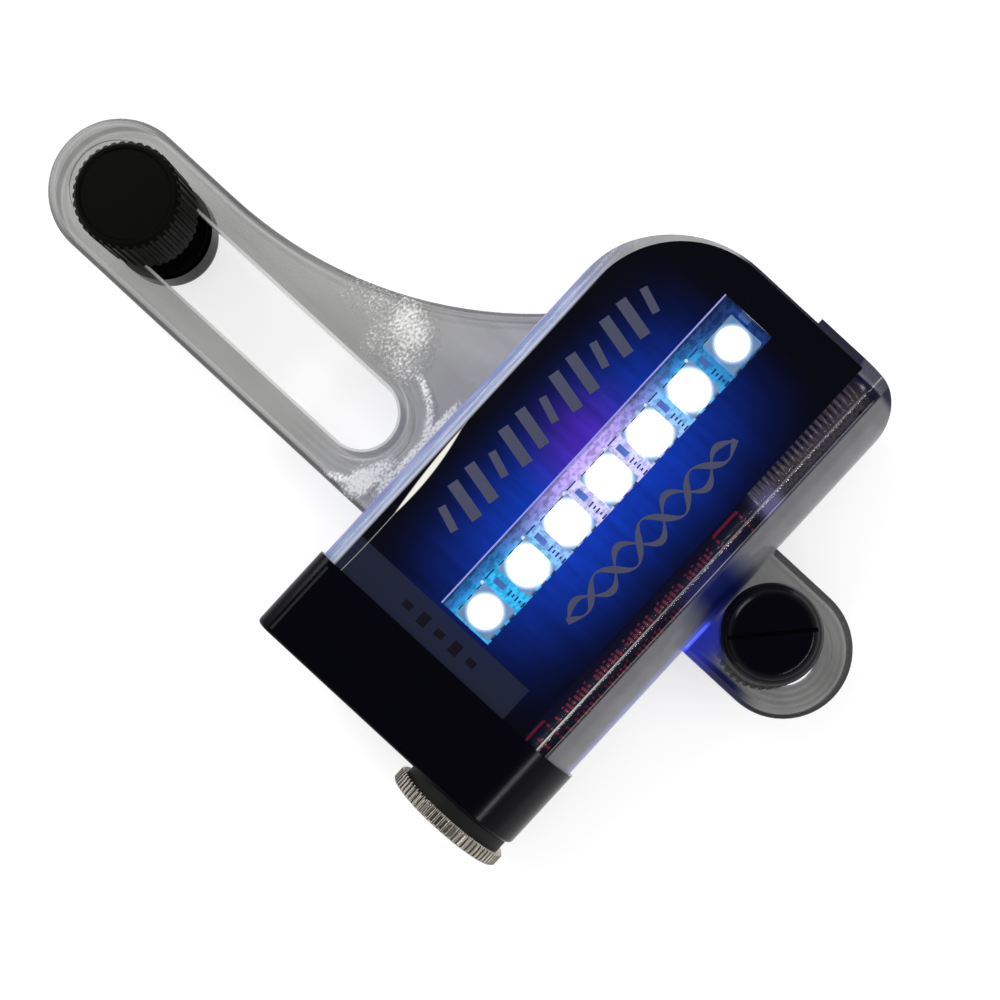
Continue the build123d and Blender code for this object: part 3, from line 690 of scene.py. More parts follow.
@dataclass(frozen=True)
class ClearPlastic:
    """Clear moulded plastic: grey on the arm and tab, smoky round the case, with painted blue lamp glow,
    painted highlights and painted shade.
    """

    lamps: Lamps
    tip_x: float
    case_left: float
    tube_right: float
    tab_end: float
    arm_y: float
    tab_y: float
    film_left: float
    film_top: float
    cell_top: float
    middle_z: float
    arm_half: float = 8.8 * MM
    slot_half: float = 4.4 * MM
    slot_gap: float = 9.2 * MM
    flare_radius: float = 53.5 * MM
    flare_reach: float = 38.6 * MM
    tab_half: float = 8.45 * MM
    strip_overlap: float = 0.9 * MM
    window_half_width: float = 3.62 * MM
    window_half_length: float = 24.5 * MM
    ring_pitch: float = 0.85 * MM
    front_half: float = 1.0 * MM
    tones: PlasticTones = PlasticTones()
    covers: PlasticCovers = PlasticCovers()
    lights: PlasticLights = PlasticLights()
    places: PlasticPlaces = PlasticPlaces()
    marks: PlasticMarks = PlasticMarks()
    grain: Grain = Grain()
    # Painted highlight: patches of silvery glint on the arm near its root.
    spots: tuple[Spot, ...] = (
        Spot(10.2 * MM, 10.6 * MM, 4.6 * MM, 0.60), Spot(12.2 * MM, 13.2 * MM, 4.8 * MM, 0.52),
        Spot(13.6 * MM, 7.4 * MM, 4.8 * MM, 0.50), Spot(15.6 * MM, 12.0 * MM, 5.0 * MM, 0.52),
        Spot(20.2 * MM, 10.4 * MM, 5.0 * MM, 0.44), Spot(9.0 * MM, 6.8 * MM, 3.8 * MM, 0.56),
        Spot(2.6 * MM, -2.2 * MM, 2.8 * MM, 0.74), Spot(3.6 * MM, -4.8 * MM, 3.2 * MM, 0.92),
        Spot(3.8 * MM, -7.2 * MM, 3.0 * MM, 0.92),
    )

    def limb_depth(self, graph: Graph) -> bpy.types.NodeSocket:
        """Return how far a point lies inside the outline of the arm or the tab.

        Args:
            graph: the finish that asks.

        Returns:
            The output socket. The arm is a capsule whose upper side turns into the arc of its flare, and
            the tab is a half capsule; each gives the distance to its nearest outline.
        """
        from_tip = graph.maths("SUBTRACT", graph.x, self.tip_x + self.arm_half)
        rise = graph.maths("SUBTRACT", graph.y, self.arm_y)
        before = graph.maths("MINIMUM", from_tip, 0.0)
        tip = graph.maths("SUBTRACT", self.arm_half, graph.length(before, rise))
        lower = graph.maths("ADD", rise, self.arm_half)
        along = graph.most(graph.maths("SUBTRACT", graph.x, self.case_left - self.flare_reach), 0.0)
        up = graph.maths("SUBTRACT", rise, self.arm_half + self.flare_radius)
        upper = graph.maths("SUBTRACT", graph.length(along, up), self.flare_radius)
        arm = graph.choose(graph.maths("LESS_THAN", from_tip, 0.0), graph.maths("MINIMUM", lower, upper), tip)
        past = graph.most(graph.maths("SUBTRACT", graph.x, self.tab_end - self.tab_half), 0.0)
        gap = graph.length(past, graph.maths("SUBTRACT", graph.y, self.tab_y))
        tab = graph.maths("SUBTRACT", self.tab_half, gap)
        return graph.choose(graph.maths("GREATER_THAN", graph.x, self.tube_right), arm, tab)

    def slot_distance(self, graph: Graph) -> bpy.types.NodeSocket:
        """Return the distance outwards from the rim of the arm's slot.

        Args:
            graph: the finish that asks.

        Returns:
            The output socket: the distance to the slot's middle line less its half width.
        """
        inner = self.case_left - self.slot_gap
        left = graph.maths("MINIMUM", graph.maths("SUBTRACT", graph.x, self.tip_x + self.arm_half), 0.0)
        right = graph.most(graph.maths("SUBTRACT", graph.x, inner), 0.0)
        gap = graph.length(graph.maths("ADD", left, right), graph.maths("SUBTRACT", graph.y, self.arm_y))
        return graph.maths("SUBTRACT", gap, self.slot_half)

    def zones(self, graph: Graph, depth: bpy.types.NodeSocket) -> Zones:
        """Return the shares of the regions.

        Args:
            graph: the finish that asks.
            depth: how far the point lies inside the outline of the arm or tab.

        Returns:
            The shares. Each is a soft-edged band in X, in Y, in depth, or a product of such bands.
        """
        places, edge = self.places, self.tube_right
        tab = graph.past(graph.x, edge, places.tab_fade)
        case = graph.within(graph.x, (self.case_left, edge), places.case_soft)
        right_side = graph.maths("SUBTRACT", 1.0, tab)
        tube = graph.both(right_side, graph.past(graph.x, edge, places.tube_fade))
        bore = graph.both(tube, graph.past(graph.x, edge, places.bore_fade))
        wall = graph.both(tube, graph.maths("SUBTRACT", 1.0, bore))
        across = (-self.window_half_width, self.window_half_width, places.window_soft)
        along = (-self.window_half_length, self.window_half_length, places.window_soft)
        window = graph.both(graph.about(graph.x, self.lamps.x, across),
                            graph.about(graph.y, self.lamps.middle_y, along))
        side = (self.case_left - self.strip_overlap, self.film_left)
        strip = graph.both(graph.within(graph.x, side, places.strip_soft),
                           graph.past(graph.y, self.lamps.middle_y, places.strip_fade))
        # Painted shade: the case's end wall, seen edge on, is darkened.
        end_wall = graph.both(right_side, graph.past(graph.y, self.film_top, places.end_wall_fade),
                              graph.past(graph.x, self.case_left, places.end_wall_across))
        # Painted reflection: a blue-violet band in the bore at the cell's end.
        collar = graph.both(bore, graph.about(graph.y, self.cell_top, places.collar_band),
                            graph.past(graph.x, edge, places.collar_across))
        # Painted shade beside the knob, with painted blue lamp glow on it.
        knob_side = graph.both(tube, graph.about(graph.y, self.tab_y, places.knob_band),
                               graph.past(graph.x, edge, places.knob_across))
        # Painted shade and painted lamp glow: dark navy where the tab meets the case, and along the tab's
        # lower edge.
        root = graph.both(tab, graph.past(graph.x, edge, places.root_across),
                          graph.past(graph.y, self.tab_y, places.root_up))
        rim = graph.both(tab, graph.past(depth, 0.0, places.rim_depth),
                         graph.past(graph.y, self.tab_y, places.rim_up),
                         graph.past(graph.x, edge, places.rim_across))
        limb = graph.maths("SUBTRACT", 1.0, case)
        return Zones(tab, case, limb, tube, bore, wall, window, strip, collar, end_wall, knob_side, root, rim)

    def glint(self, graph: Graph, slot: bpy.types.NodeSocket) -> bpy.types.NodeSocket:
        """Return the share of painted glint: a silvery cloud of painted highlight at the arm's root, an arc
        and a line by the case.

        Args:
            graph: the finish that asks.
            slot: distance outwards from the slot's rim.

        Returns:
            The output socket: where the patches are strong all of a fine noise passes, and where they
            are weak only its peaks do.
        """
        places, grain = self.places, self.grain
        cloud: object = 0.0
        for spot in self.spots:
            gap = graph.distance(self.case_left - spot.across, self.arm_y + spot.up, None)
            cloud = graph.maths("MULTIPLY_ADD", graph.fade(gap, 0.0, spot.reach), spot.strength, cloud)
        cloud = graph.maths("MINIMUM", cloud, grain.cloud_limit)
        arc = graph.both(graph.about(slot, 0.0, places.glint_arc),
                         graph.past(graph.x, self.case_left, places.glint_arc_across), grain.arc)
        line = graph.both(graph.about(graph.x, self.case_left, places.glint_line),
                          graph.about(graph.y, self.arm_y, places.glint_line_up), grain.line)
        total = graph.most(cloud, arc, line)
        coarse = graph.noise(grain.coarse_size, 2.0, grain.coarse_stretch)
        fine = graph.noise(grain.fine_size, 4.0, grain.fine_stretch)
        level = graph.maths("MULTIPLY_ADD", fine, grain.fine_share, graph.both(coarse, grain.coarse_share))
        level = graph.maths("MULTIPLY_ADD", total, grain.patch_share, level)
        shown = graph.both(graph.past(level, 0.0, grain.level_fade),
                           graph.past(total, 0.0, grain.patch_fade))
        return graph.both(shown, graph.past(graph.x, self.case_left, places.glint_end))

    def cover(self, graph: Graph, zones: Zones, changes: Changes) -> bpy.types.NodeSocket:
        """Return how much of what lies behind a surface is covered.

        Args:
            graph: the finish that asks.
            zones: shares of the regions.
            changes: shares that add to the cover, each with its amount.

        Returns:
            The output socket: a base for each region, more where the view grazes the surface, and the
            changes.
        """
        covers = self.covers
        front = graph.fade(graph.z, self.middle_z + self.front_half, self.middle_z - self.front_half)
        cover = graph.choose(zones.tab, covers.arm, covers.tab)
        cover = graph.choose(zones.case, cover, covers.case)
        cover = graph.choose(zones.wall, cover, covers.wall)
        cover = graph.choose(zones.bore, cover, graph.choose(front, covers.bore_back, covers.bore_front))
        cover = graph.choose(zones.strip, cover, covers.strip)
        cover = graph.choose(zones.window, cover, covers.window)
        facing = graph.add("ShaderNodeLayerWeight")
        facing.inputs["Blend"].default_value = covers.grazing_blend
        grazing = graph.maths("POWER", facing.outputs["Facing"], covers.grazing_power)
        for share, amount in ((grazing, covers.grazing), *changes):
            cover = graph.maths("MULTIPLY_ADD", share, amount, cover, clamp=True)
        return cover

    def strip_colour(self, graph: Graph) -> bpy.types.NodeSocket:
        """Return the colour of the case's lit side, all painted light: a painted shade line, a painted blue
        glow core, a grey band and a painted highlight line.

        Args:
            graph: the finish that asks.

        Returns:
            The output socket: the stops of the bands across the side, with painted highlight streaks along
                it.
        """
        side = (self.case_left - self.strip_overlap, self.film_left)
        bands = graph.ramp(graph.x, side, self.tones.strip)
        marks = self.marks
        streaks = graph.past(graph.noise(marks.streak_size, 3.0, marks.streak_stretch), 0.0,
                             marks.streak_fade)
        return graph.mix(graph.both(streaks, marks.streak_share), bands, self.tones.strip_streak)

    def light(self, graph: Graph, zones: Zones, flow: bpy.types.NodeSocket) -> bpy.types.NodeSocket:
        """Return the strength of the painted blue lamp glow that the plastic gives off.

        Args:
            graph: the finish that asks.
            zones: shares of the regions.
            flow: slow noise of the moulding.

        Returns:
            The output socket: a share for each glowing region, fading with the distance from the lamps.
        """
        places, lights = self.places, self.lights
        near = graph.past(self.lamps.row_distance(graph), 0.0, places.lamp_fade)
        border = graph.both(graph.about(graph.x, self.tube_right, places.border_band), flow,
                            graph.past(graph.y, self.tab_y, places.border_up))
        streak = graph.both(graph.about(graph.x, self.tube_right, places.streak_band),
                            graph.about(graph.y, self.tab_y, places.streak_up))
        share = graph.both(zones.strip, near, lights.strip)
        for part, amount in ((graph.both(border, near), lights.border),
                             (graph.both(zones.knob_side, near), lights.knob_side),
                             (graph.both(zones.tube, near), lights.tube), (zones.root, lights.root),
                             (zones.rim, lights.rim), (streak, lights.streak)):
            share = graph.maths("MULTIPLY_ADD", part, amount, share)
        return graph.both(share, graph.maths("SUBTRACT", 1.0, zones.window))

    def painted_highlights(self, graph: Graph, zones: Zones, depth: bpy.types.NodeSocket,
                   slot: bpy.types.NodeSocket) -> bpy.types.NodeSocket:
        """Return the share of painted highlights: the painted glint, and painted bright lines along the edges
        of the arm, its slot and the tab.

        Args:
            graph: the finish that asks.
            zones: shares of the regions.
            depth: how far the point lies inside the outline of the arm or tab.
            slot: distance outwards from the slot's rim.

        Returns:
            The output socket: the largest of these painted highlights, where the deep parts have no edges.
        """
        places, marks = self.places, self.marks
        edge = graph.both(graph.about(depth, 0.0, places.edge_highlight_band),
                          graph.choose(zones.tab, marks.arm_edge, marks.tab_edge))
        slot_edge = graph.both(graph.about(slot, 0.0, places.slot_edge_band), marks.slot_edge)
        inner_arc = graph.both(graph.about(slot, 0.0, places.inner_arc_band),
                               graph.past(graph.x, self.case_left, places.inner_arc_across),
                               marks.inner_arc)
        shallow = graph.maths("SUBTRACT", 1.0, graph.most(zones.root, zones.rim))
        edges = graph.both(graph.most(edge, slot_edge, inner_arc), zones.limb, shallow)
        return graph.most(self.glint(graph, slot), edges)

    def rings(self, graph: Graph, zones: Zones, depth: bpy.types.NodeSocket,
              slot: bpy.types.NodeSocket) -> bpy.types.NodeSocket:
        """Return fine rings round both ends of the slot and along the tab's outline.

        Args:
            graph: the finish that asks.
            zones: shares of the regions.
            depth: how far the point lies inside the outline of the arm or tab.
            slot: distance outwards from the slot's rim.

        Returns:
            The output socket: a sine of the distance from the slot or the outline, above and below 0.
        """
        places, marks = self.places, self.marks
        gap = graph.choose(zones.tab, slot, depth)
        wave = graph.maths("SINE", graph.both(gap, 2 * math.pi / self.ring_pitch))
        tip = graph.past(graph.distance(self.tip_x + self.arm_half, self.arm_y, None), 0.0, places.tip_rings)
        inner = graph.past(graph.distance(self.case_left - self.slot_gap, self.arm_y, None), 0.0,
                           places.inner_rings)
        strength = graph.most(graph.both(tip, marks.tip_rings), graph.both(inner, marks.inner_rings),
                              graph.both(zones.tab, marks.tab_rings))
        return graph.both(wave, strength, zones.limb)

    def lines(self, graph: Graph, zones: Zones) -> bpy.types.NodeSocket:
        """Return the share of the two painted highlight lines along the tube, the first fading towards its
        end.

        Args:
            graph: the finish that asks.
            zones: shares of the regions.

        Returns:
            The output socket.
        """
        places, marks = self.places, self.marks
        bright = graph.maths("MULTIPLY_ADD", graph.past(graph.y, self.tab_y, places.bright_up),
                             marks.line_rise, marks.line_low)
        first = graph.both(graph.about(graph.x, self.tube_right, places.first_line), bright)
        second = graph.both(graph.about(graph.x, self.tube_right, places.second_line), marks.second_line)
        return graph.both(zones.tube, graph.most(first, second),
                          graph.past(graph.z, self.middle_z, places.line_height),
                          graph.past(graph.y, self.film_top, places.line_end))

    def smoke(self, graph: Graph, zones: Zones, flow: bpy.types.NodeSocket,
              painted_edge_shade: bpy.types.NodeSocket) -> bpy.types.NodeSocket:
        """Return the plastic's colour, region over region, with painted shade, a painted reflection and the
        painted light of the case's side among the regions.

        Args:
            graph: the finish that asks.
            zones: shares of the regions.
            flow: slow noise of the moulding.
            painted_edge_shade: share of the painted shade line just inside the outline of the arm and tab.

        Returns:
            The output socket.
        """
        tones = self.tones
        near_case = graph.both(zones.limb, graph.past(graph.x, self.case_left, self.places.near_case_fade))
        smoke = graph.mix(near_case, tones.arm, tones.near_case)
        smoke = graph.mix(zones.tab, smoke, tones.tab)
        smoke = graph.mix(zones.case, smoke, tones.case)
        smoke = graph.mix(zones.wall, smoke, graph.mix(flow, tones.dark_wall, tones.pale_wall))
        smoke = graph.mix(zones.collar, smoke, tones.collar)
        smoke = graph.mix(zones.knob_side, smoke, tones.knob_side)
        smoke = graph.mix(zones.end_wall, smoke, tones.end_wall)
        smoke = graph.mix(zones.strip, smoke, self.strip_colour(graph))
        smoke = graph.mix(painted_edge_shade, smoke, tones.painted_edge_shade)
        return graph.mix(graph.most(zones.root, zones.rim), smoke, tones.deep)

    def build(self) -> bpy.types.Material:
        """Make the material: smoky, darker where the light passes more plastic, with a painted shade line and
        painted highlights along its edges.

        Returns:
            The new material.
        """
        graph = Graph("clear_plastic")
        covers, marks = self.covers, self.marks
        depth = self.limb_depth(graph)
        slot = self.slot_distance(graph)
        zones = self.zones(graph, depth)
        flow = graph.noise(marks.flow_size, 3.0, marks.flow_stretch)
        # Painted shade: a dark line just inside the outline of the arm and tab.
        painted_edge_shade = graph.both(graph.about(depth, 0.0, self.places.painted_edge_shade_band), zones.limb)
        # Painted highlights: the glint and the bright edges of the arm, its slot and the tab.
        pale = self.painted_highlights(graph, zones, depth, slot)
        # Painted highlights: two bright lines along the tube.
        lines = self.lines(graph, zones)
        # Painted shade, a painted reflection and painted highlights add to the cover too: the edge shade, the
        # pale marks, the knob's side, the collar, the root and rim, the end wall and the lines.
        cover = self.cover(graph, zones, (
            (graph.maths("SUBTRACT", flow, 0.5), covers.flow), (painted_edge_shade, covers.painted_edge_shade),
            (graph.both(painted_edge_shade, zones.tab), covers.painted_tab_edge_shade),
            (self.rings(graph, zones, depth, slot), covers.rings), (pale, covers.pale),
            (zones.knob_side, covers.knob_side), (zones.collar, covers.collar),
            (graph.most(zones.root, zones.rim), covers.deep), (zones.end_wall, covers.end_wall),
            (lines, covers.lines)))
        smoke = self.smoke(graph, zones, flow, painted_edge_shade)
        # Painted highlights, both these marks and the lines along the tube, are mixed towards the near-white
        # glint tone.
        shine = graph.most(pale, graph.both(lines, marks.line_colour))
        colour = graph.mix(shine, smoke, self.tones.glint)
        tone = graph.mix(zones.strip, self.tones.light, self.tones.strip_light)
        ripple = graph.noise(marks.ripple_size, 3.0, marks.ripple_stretch)
        ripple = graph.both(ripple, graph.maths("MULTIPLY_ADD", zones.tube, marks.tube_ripple, 1.0))
        graph.bump(ripple, marks.ripple_depth)
        # The emission is painted lamp glow: the plastic gives off blue light of its own near the lamps.
        return graph.set(base_color=colour, alpha=cover, roughness=0.30, specular_ior_level=0.08, ior=1.5,
                         coat_weight=0.45, coat_roughness=0.05, emission_color=tone,
                         emission_strength=self.light(graph, zones, flow))


@dataclass(frozen=True)
class PrintedFilm:
    """Black printed film with a painted deep blue lamp glow beside the lamps, a painted glare at its left
    edge and a grey band at the cap end.
    """

    lamps: Lamps
    low_y: float
    left_x: float
    right_x: float
    glow_across: Span = (2.5 * MM, 17.5 * MM)
    glow_along: Span = (5.0 * MM, 28.0 * MM)
    glow_down: float = 3.0 * MM
    glow_right: Span = (1.0 * MM, -1.0 * MM)
    left_power: float = 1.9
    right_power: float = 1.35
    glow_low: float = 0.22
    glow_rise: float = 0.42
    streak_size: float = 1.2 * MM
    streak_stretch: Point = (9.0, 1.0, 1.0)
    violet_left: float = 5.0 * MM
    violet_up: float = 1.0 * MM
    violet_fade: Span = (1.0 * MM, 9.5 * MM)
    band_up: Band = (-1.0 * MM, 4.6 * MM, 0.12 * MM)
    band_right: Span = (-3.2 * MM, -3.0 * MM)
    # Painted glare: a curved blade of reflection at the film's left edge.
    glare_up: float = 15.4 * MM
    glare_half_length: float = 6.3 * MM
    glare_half_width: float = 0.36 * MM
    glare_inset: float = 0.86 * MM
    glare_slant: float = 0.48 * MM
    glare_bend: float = 0.16 * MM
    glare_soft: float = 0.08 * MM
    # Painted highlight line along the film's left edge, and where it and the glare fade out.
    glare_line_inset: Span = (0.06 * MM, 0.16 * MM)
    glare_fade_up: Span = (35.0 * MM, 50.0 * MM)
    glare_line_share: float = 0.25
    band_glow: float = -0.75
    mottle_size: float = 5.0 * MM
    wave_size: float = 2.6 * MM
    wave_depth: float = 0.02 * MM
    blue: Colour = (0.008, 0.085, 1.0)
    violet: Colour = (0.13, 0.045, 1.0)
    dark_ground: Colour = (0.0010, 0.0012, 0.0035)
    pale_ground: Colour = (0.0022, 0.0024, 0.0060)
    band: Colour = (0.013, 0.017, 0.036)
    glare_tone: Colour = (0.86, 0.84, 0.76)

    def glow(self, graph: Graph) -> bpy.types.NodeSocket:
        """Return the strength of the painted lamp glow.

        Args:
            graph: the finish that asks.

        Returns:
            The output socket: it falls off across the lamp row and towards both ends of it, in streaks.
        """
        streaks = graph.noise(self.streak_size, 3.0, self.streak_stretch)
        across = graph.past(graph.distance(self.lamps.x, None, None), 0.0, self.glow_across)
        right = graph.past(graph.x, self.lamps.x, self.glow_right)
        across = graph.maths("POWER", across, graph.choose(right, self.left_power, self.right_power))
        centre = self.lamps.middle_y - self.glow_down
        along = graph.past(graph.distance(None, centre, None), 0.0, self.glow_along)
        return graph.both(across, along, graph.maths("MULTIPLY_ADD", streaks, self.glow_rise, self.glow_low))

    def painted_glare(self, graph: Graph) -> bpy.types.NodeSocket:
        """Return the share of painted glare: a curved blade of painted reflection at the left edge, and a
        thin painted highlight line above it.

        Args:
            graph: the finish that asks.

        Returns:
            The output socket. With the place along the blade from -1 to 1, its middle line is a sloping
            parabola, and its width is one less the square of that place.
        """
        inset = graph.maths("SUBTRACT", graph.x, self.left_x)
        up = graph.maths("SUBTRACT", graph.y, self.low_y + self.glare_up)
        part = graph.maths("DIVIDE", up, self.glare_half_length)
        square = graph.both(part, part)
        bow = graph.most(graph.maths("MULTIPLY_ADD", square, -1.0, 1.0), 0.0)
        gap = graph.maths("MULTIPLY_ADD", part, self.glare_slant,
                          graph.maths("SUBTRACT", inset, self.glare_inset))
        gap = graph.maths("ABSOLUTE", graph.maths("MULTIPLY_ADD", square, self.glare_bend, gap))
        blade = graph.fade(graph.maths("MULTIPLY_ADD", bow, -self.glare_half_width, gap),
                           -self.glare_soft, self.glare_soft)
        wear_and_glare_line = graph.both(graph.past(inset, 0.0, self.glare_line_inset), self.glare_line_share)
        return graph.both(graph.most(blade, wear_and_glare_line), graph.past(graph.y, self.low_y, self.glare_fade_up))

    def build(self) -> bpy.types.Material:
        """Make the material: black ground, the painted glow's tone, the grey band and the painted glare
        blade.

        Returns:
            The new material.
        """
        graph = Graph("printed_film")
        violet = graph.past(graph.distance(self.lamps.x - self.violet_left,
                                           self.lamps.middle_y + self.violet_up, None), 0.0, self.violet_fade)
        band = graph.both(graph.about(graph.y, self.low_y, self.band_up),
                          graph.past(graph.x, self.right_x, self.band_right))
        ground = graph.mix(graph.noise(self.mottle_size, 3.0), self.dark_ground, self.pale_ground)
        colour = graph.mix(band, ground, self.band)
        # Painted reflection: the glare blade and the highlight line along the edge are laid on in pale cream.
        colour = graph.mix(self.painted_glare(graph), colour, self.glare_tone)
        graph.bump(graph.noise(self.wave_size, 2.0), self.wave_depth)
        # Painted lamp glow: the film gives off deep blue and violet light beside the lamps.
        strength = graph.both(self.glow(graph), graph.maths("MULTIPLY_ADD", band, self.band_glow, 1.0))
        return graph.set(base_color=colour, roughness=0.30, specular_ior_level=0.12,
                         emission_color=graph.mix(violet, self.blue, self.violet),
                         emission_strength=strength)


@dataclass(frozen=True)
class LitBoard:
    """White circuit board with its lamps' light painted on as glow: cyan at the ends of the row, lavender in
    the middle.
    """

    lamps: Lamps
    cyan: Colour = (0.03, 0.46, 0.82)
    cyan_side: Colour = (0.03, 0.22, 0.62)
    blue_end: Colour = (0.03, 0.09, 0.42)
    lavender: Colour = (0.62, 0.57, 0.97)
    lavender_side: Colour = (0.52, 0.38, 0.92)
    pale_ground: Colour = (0.008, 0.016, 0.06)
    track_ground: Colour = (0.03, 0.06, 0.16)
    middle_fade: Span = (2.0 * MM, 17.0 * MM)
    close_fade: Span = (2.4 * MM, 3.8 * MM)
    across_fade: Span = (2.2 * MM, 6.4 * MM)
    end_up: Span = (14.0 * MM, 25.0 * MM)
    middle_share: float = 0.95
    end_low: float = 0.34
    end_rise: float = 0.66
    track_size: float = 0.50 * MM
    track_stretch: Point = (1.0, 1.6, 1.0)
    track_fade: Span = (0.42, 0.62)
    glow_low: float = 0.78
    glow_rise: float = 0.50
    grain_size: float = 0.3 * MM
    grain_depth: float = 0.008 * MM

    def build(self) -> bpy.types.Material:
        """Make the material: the painted light falls off from the row, and its tone turns along it.

        Returns:
            The new material.
        """
        graph = Graph("board")
        from_row = graph.distance(self.lamps.x, None, None)
        middle = graph.past(graph.distance(None, self.lamps.middle_y, None), 0.0, self.middle_fade)
        close = graph.past(from_row, 0.0, self.close_fade)
        end = graph.past(graph.y, self.lamps.middle_y, self.end_up)
        ends = graph.mix(end, self.blue_end, graph.mix(close, self.cyan_side, self.cyan))
        tone = graph.mix(middle, ends, graph.mix(close, self.lavender_side, self.lavender))
        share = graph.most(graph.both(middle, self.middle_share),
                           graph.past(from_row, 0.0, self.across_fade))
        share = graph.both(share, graph.maths("MULTIPLY_ADD", end, self.end_rise, self.end_low))
        tracks = graph.past(graph.noise(self.track_size, 4.0, self.track_stretch), 0.0, self.track_fade)
        strength = graph.both(share, graph.maths("MULTIPLY_ADD", tracks, self.glow_rise, self.glow_low))
        ground = graph.mix(tracks, self.pale_ground, self.track_ground)
        graph.bump(graph.noise(self.grain_size, 2.0), self.grain_depth)
        return graph.set(base_color=ground, roughness=0.4, specular_ior_level=0.3,
                         emission_color=tone, emission_strength=strength)


@dataclass(frozen=True)
class LampPackage:
    """White lamp package with a painted glow: white-hot near its filling and pale blue at its corners."""

    lamps: Lamps
    hot_fade: Span = (1.6 * MM, 2.7 * MM)
    middle_fade: Span = (12.0 * MM, 20.0 * MM)
    middle_shift: float = 0.7 * MM
    cool: Colour = (0.22, 0.50, 0.95)
    hot: Colour = (0.95, 0.96, 1.0)
    pale_ground: Colour = (0.30, 0.34, 0.42)
    dark_ground: Colour = (0.22, 0.27, 0.36)
    mottle_size: float = 0.5 * MM
    glow_low: float = 0.40
    glow_rise: float = 1.5

    def build(self) -> bpy.types.Material:
        """Make the material: the painted glow's strength falls off from the nearest lamp's centre.

        Returns:
            The new material.
        """
        graph = Graph("led_package")
        middle = graph.past(graph.distance(None, self.lamps.middle_y, None), 0.0, self.middle_fade)
        gap = graph.maths("MULTIPLY_ADD", middle, -self.middle_shift, self.lamps.lamp_distance(graph))
        hot = graph.past(gap, 0.0, self.hot_fade)
        ground = graph.mix(graph.noise(self.mottle_size), self.pale_ground, self.dark_ground)
        return graph.set(base_color=ground, roughness=0.4, emission_color=graph.mix(hot, self.cool, self.hot),
                         emission_strength=graph.maths("MULTIPLY_ADD", hot, self.glow_rise, self.glow_low))


@dataclass(frozen=True)
class LampFilling:
    """Lit filling of a lamp, brightest in its middle."""

    lamps: Lamps
    core_fade: Span = (0.6 * MM, 2.3 * MM)
    phosphor: Colour = (0.9, 0.92, 0.8)
    white: Colour = (0.93, 0.96, 1.0)
    glow_low: float = 2.5
    glow_rise: float = 3.5

    def build(self) -> bpy.types.Material:
        """Make the material: white light that eases off a little towards the rim.

        Returns:
            The new material.
        """
        graph = Graph("led_light")
        core = graph.past(self.lamps.lamp_distance(graph), 0.0, self.core_fade)
        return graph.set(base_color=self.phosphor, roughness=0.15, emission_color=self.white,
                         emission_strength=graph.maths("MULTIPLY_ADD", core, self.glow_rise, self.glow_low))


@dataclass(frozen=True)
class Lit:
    """Small flat print or part in its own colour, with a painted glow of that colour standing in for the
    lamps' light on it.
    """

    name: str
    colour: Colour
    glow: float = 0.0
    mottle_size: float = 0.4 * MM
    mottle_gain: float = 1.25

    def build(self) -> bpy.types.Material:
        """Make the material: its colour varies a little with a fine noise, and it gives off that colour as a
        painted glow.

        Returns:
            The new material.
        """
        graph = Graph(self.name)
        mottle = graph.noise(self.mottle_size, 3.0)
        pale = tuple(min(1.0, part * self.mottle_gain) for part in self.colour)
        colour = graph.mix(mottle, self.colour, pale)
        return graph.set(base_color=colour, roughness=0.4, specular_ior_level=0.25, emission_color=colour,
                         emission_strength=self.glow)


class Surfaces:
    """Collects grids of points and writes them as one piece."""

    def __init__(self) -> None:
        """Start with nothing collected."""
        self.points: list[np.ndarray] = []
        self.faces: list[np.ndarray] = []
        self.total = 0

    def grid(self, points: np.ndarray, around: bool = False, along: bool = False) -> None:
        """Add a grid surface.

        Args:
            points: array of rows by columns by three, in metres.
            around: whether the last column joins the first.
            along: whether the last row joins the first.
        """
        rows, columns = points.shape[:2]
        index = np.arange(rows * columns).reshape(rows, columns)
        if around:
            index = np.concatenate([index, index[:, :1]], axis=1)
        if along:
            index = np.concatenate([index, index[:1]], axis=0)
        corners = [index[:-1, :-1], index[1:, :-1], index[1:, 1:], index[:-1, 1:]]
        self.faces.append(np.stack(corners, axis=-1).reshape(-1, 4) + self.total)
        self.points.append(points.reshape(-1, 3))
        self.total += rows * columns

    def closed(self, points: np.ndarray) -> None:
        """Add a grid that is closed around, with each end row drawn in to its middle.

        Args:
            points: array of rows by columns by three, in metres.
        """
        low = np.broadcast_to(points[0].mean(axis=0), points[0].shape)[None]
        high = np.broadcast_to(points[-1].mean(axis=0), points[-1].shape)[None]
        self.grid(np.concatenate([low, points, high]), around=True)

    def piece(self, name: str, material: bpy.types.Material, smooth: bool = False) -> bpy.types.Object:
        """Write what was collected as one mesh with outward faces.

        Args:
            name: name of the new object.
            material: its finish.
            smooth: whether its faces are shaded smooth.

        Returns:
            The new object, at the origin.
        """
        points = np.concatenate(self.points)
        faces = np.concatenate(self.faces)
        mesh = bpy.data.meshes.new(name)
        mesh.from_pydata(points.tolist(), [], faces.tolist())
        work = bmesh.new()
        work.from_mesh(mesh)
        bmesh.ops.remove_doubles(work, verts=work.verts, dist=1e-7)
        bmesh.ops.dissolve_degenerate(work, edges=work.edges, dist=1e-8)
        bmesh.ops.recalc_face_normals(work, faces=work.faces)
        work.to_mesh(mesh)
        work.free()
        mesh.polygons.foreach_set("use_smooth", np.full(len(mesh.polygons), smooth))
        mesh.materials.append(material)
        mesh.update()
        thing = bpy.data.objects.new(name, mesh)
        bpy.context.scene.collection.objects.link(thing)
        return thing


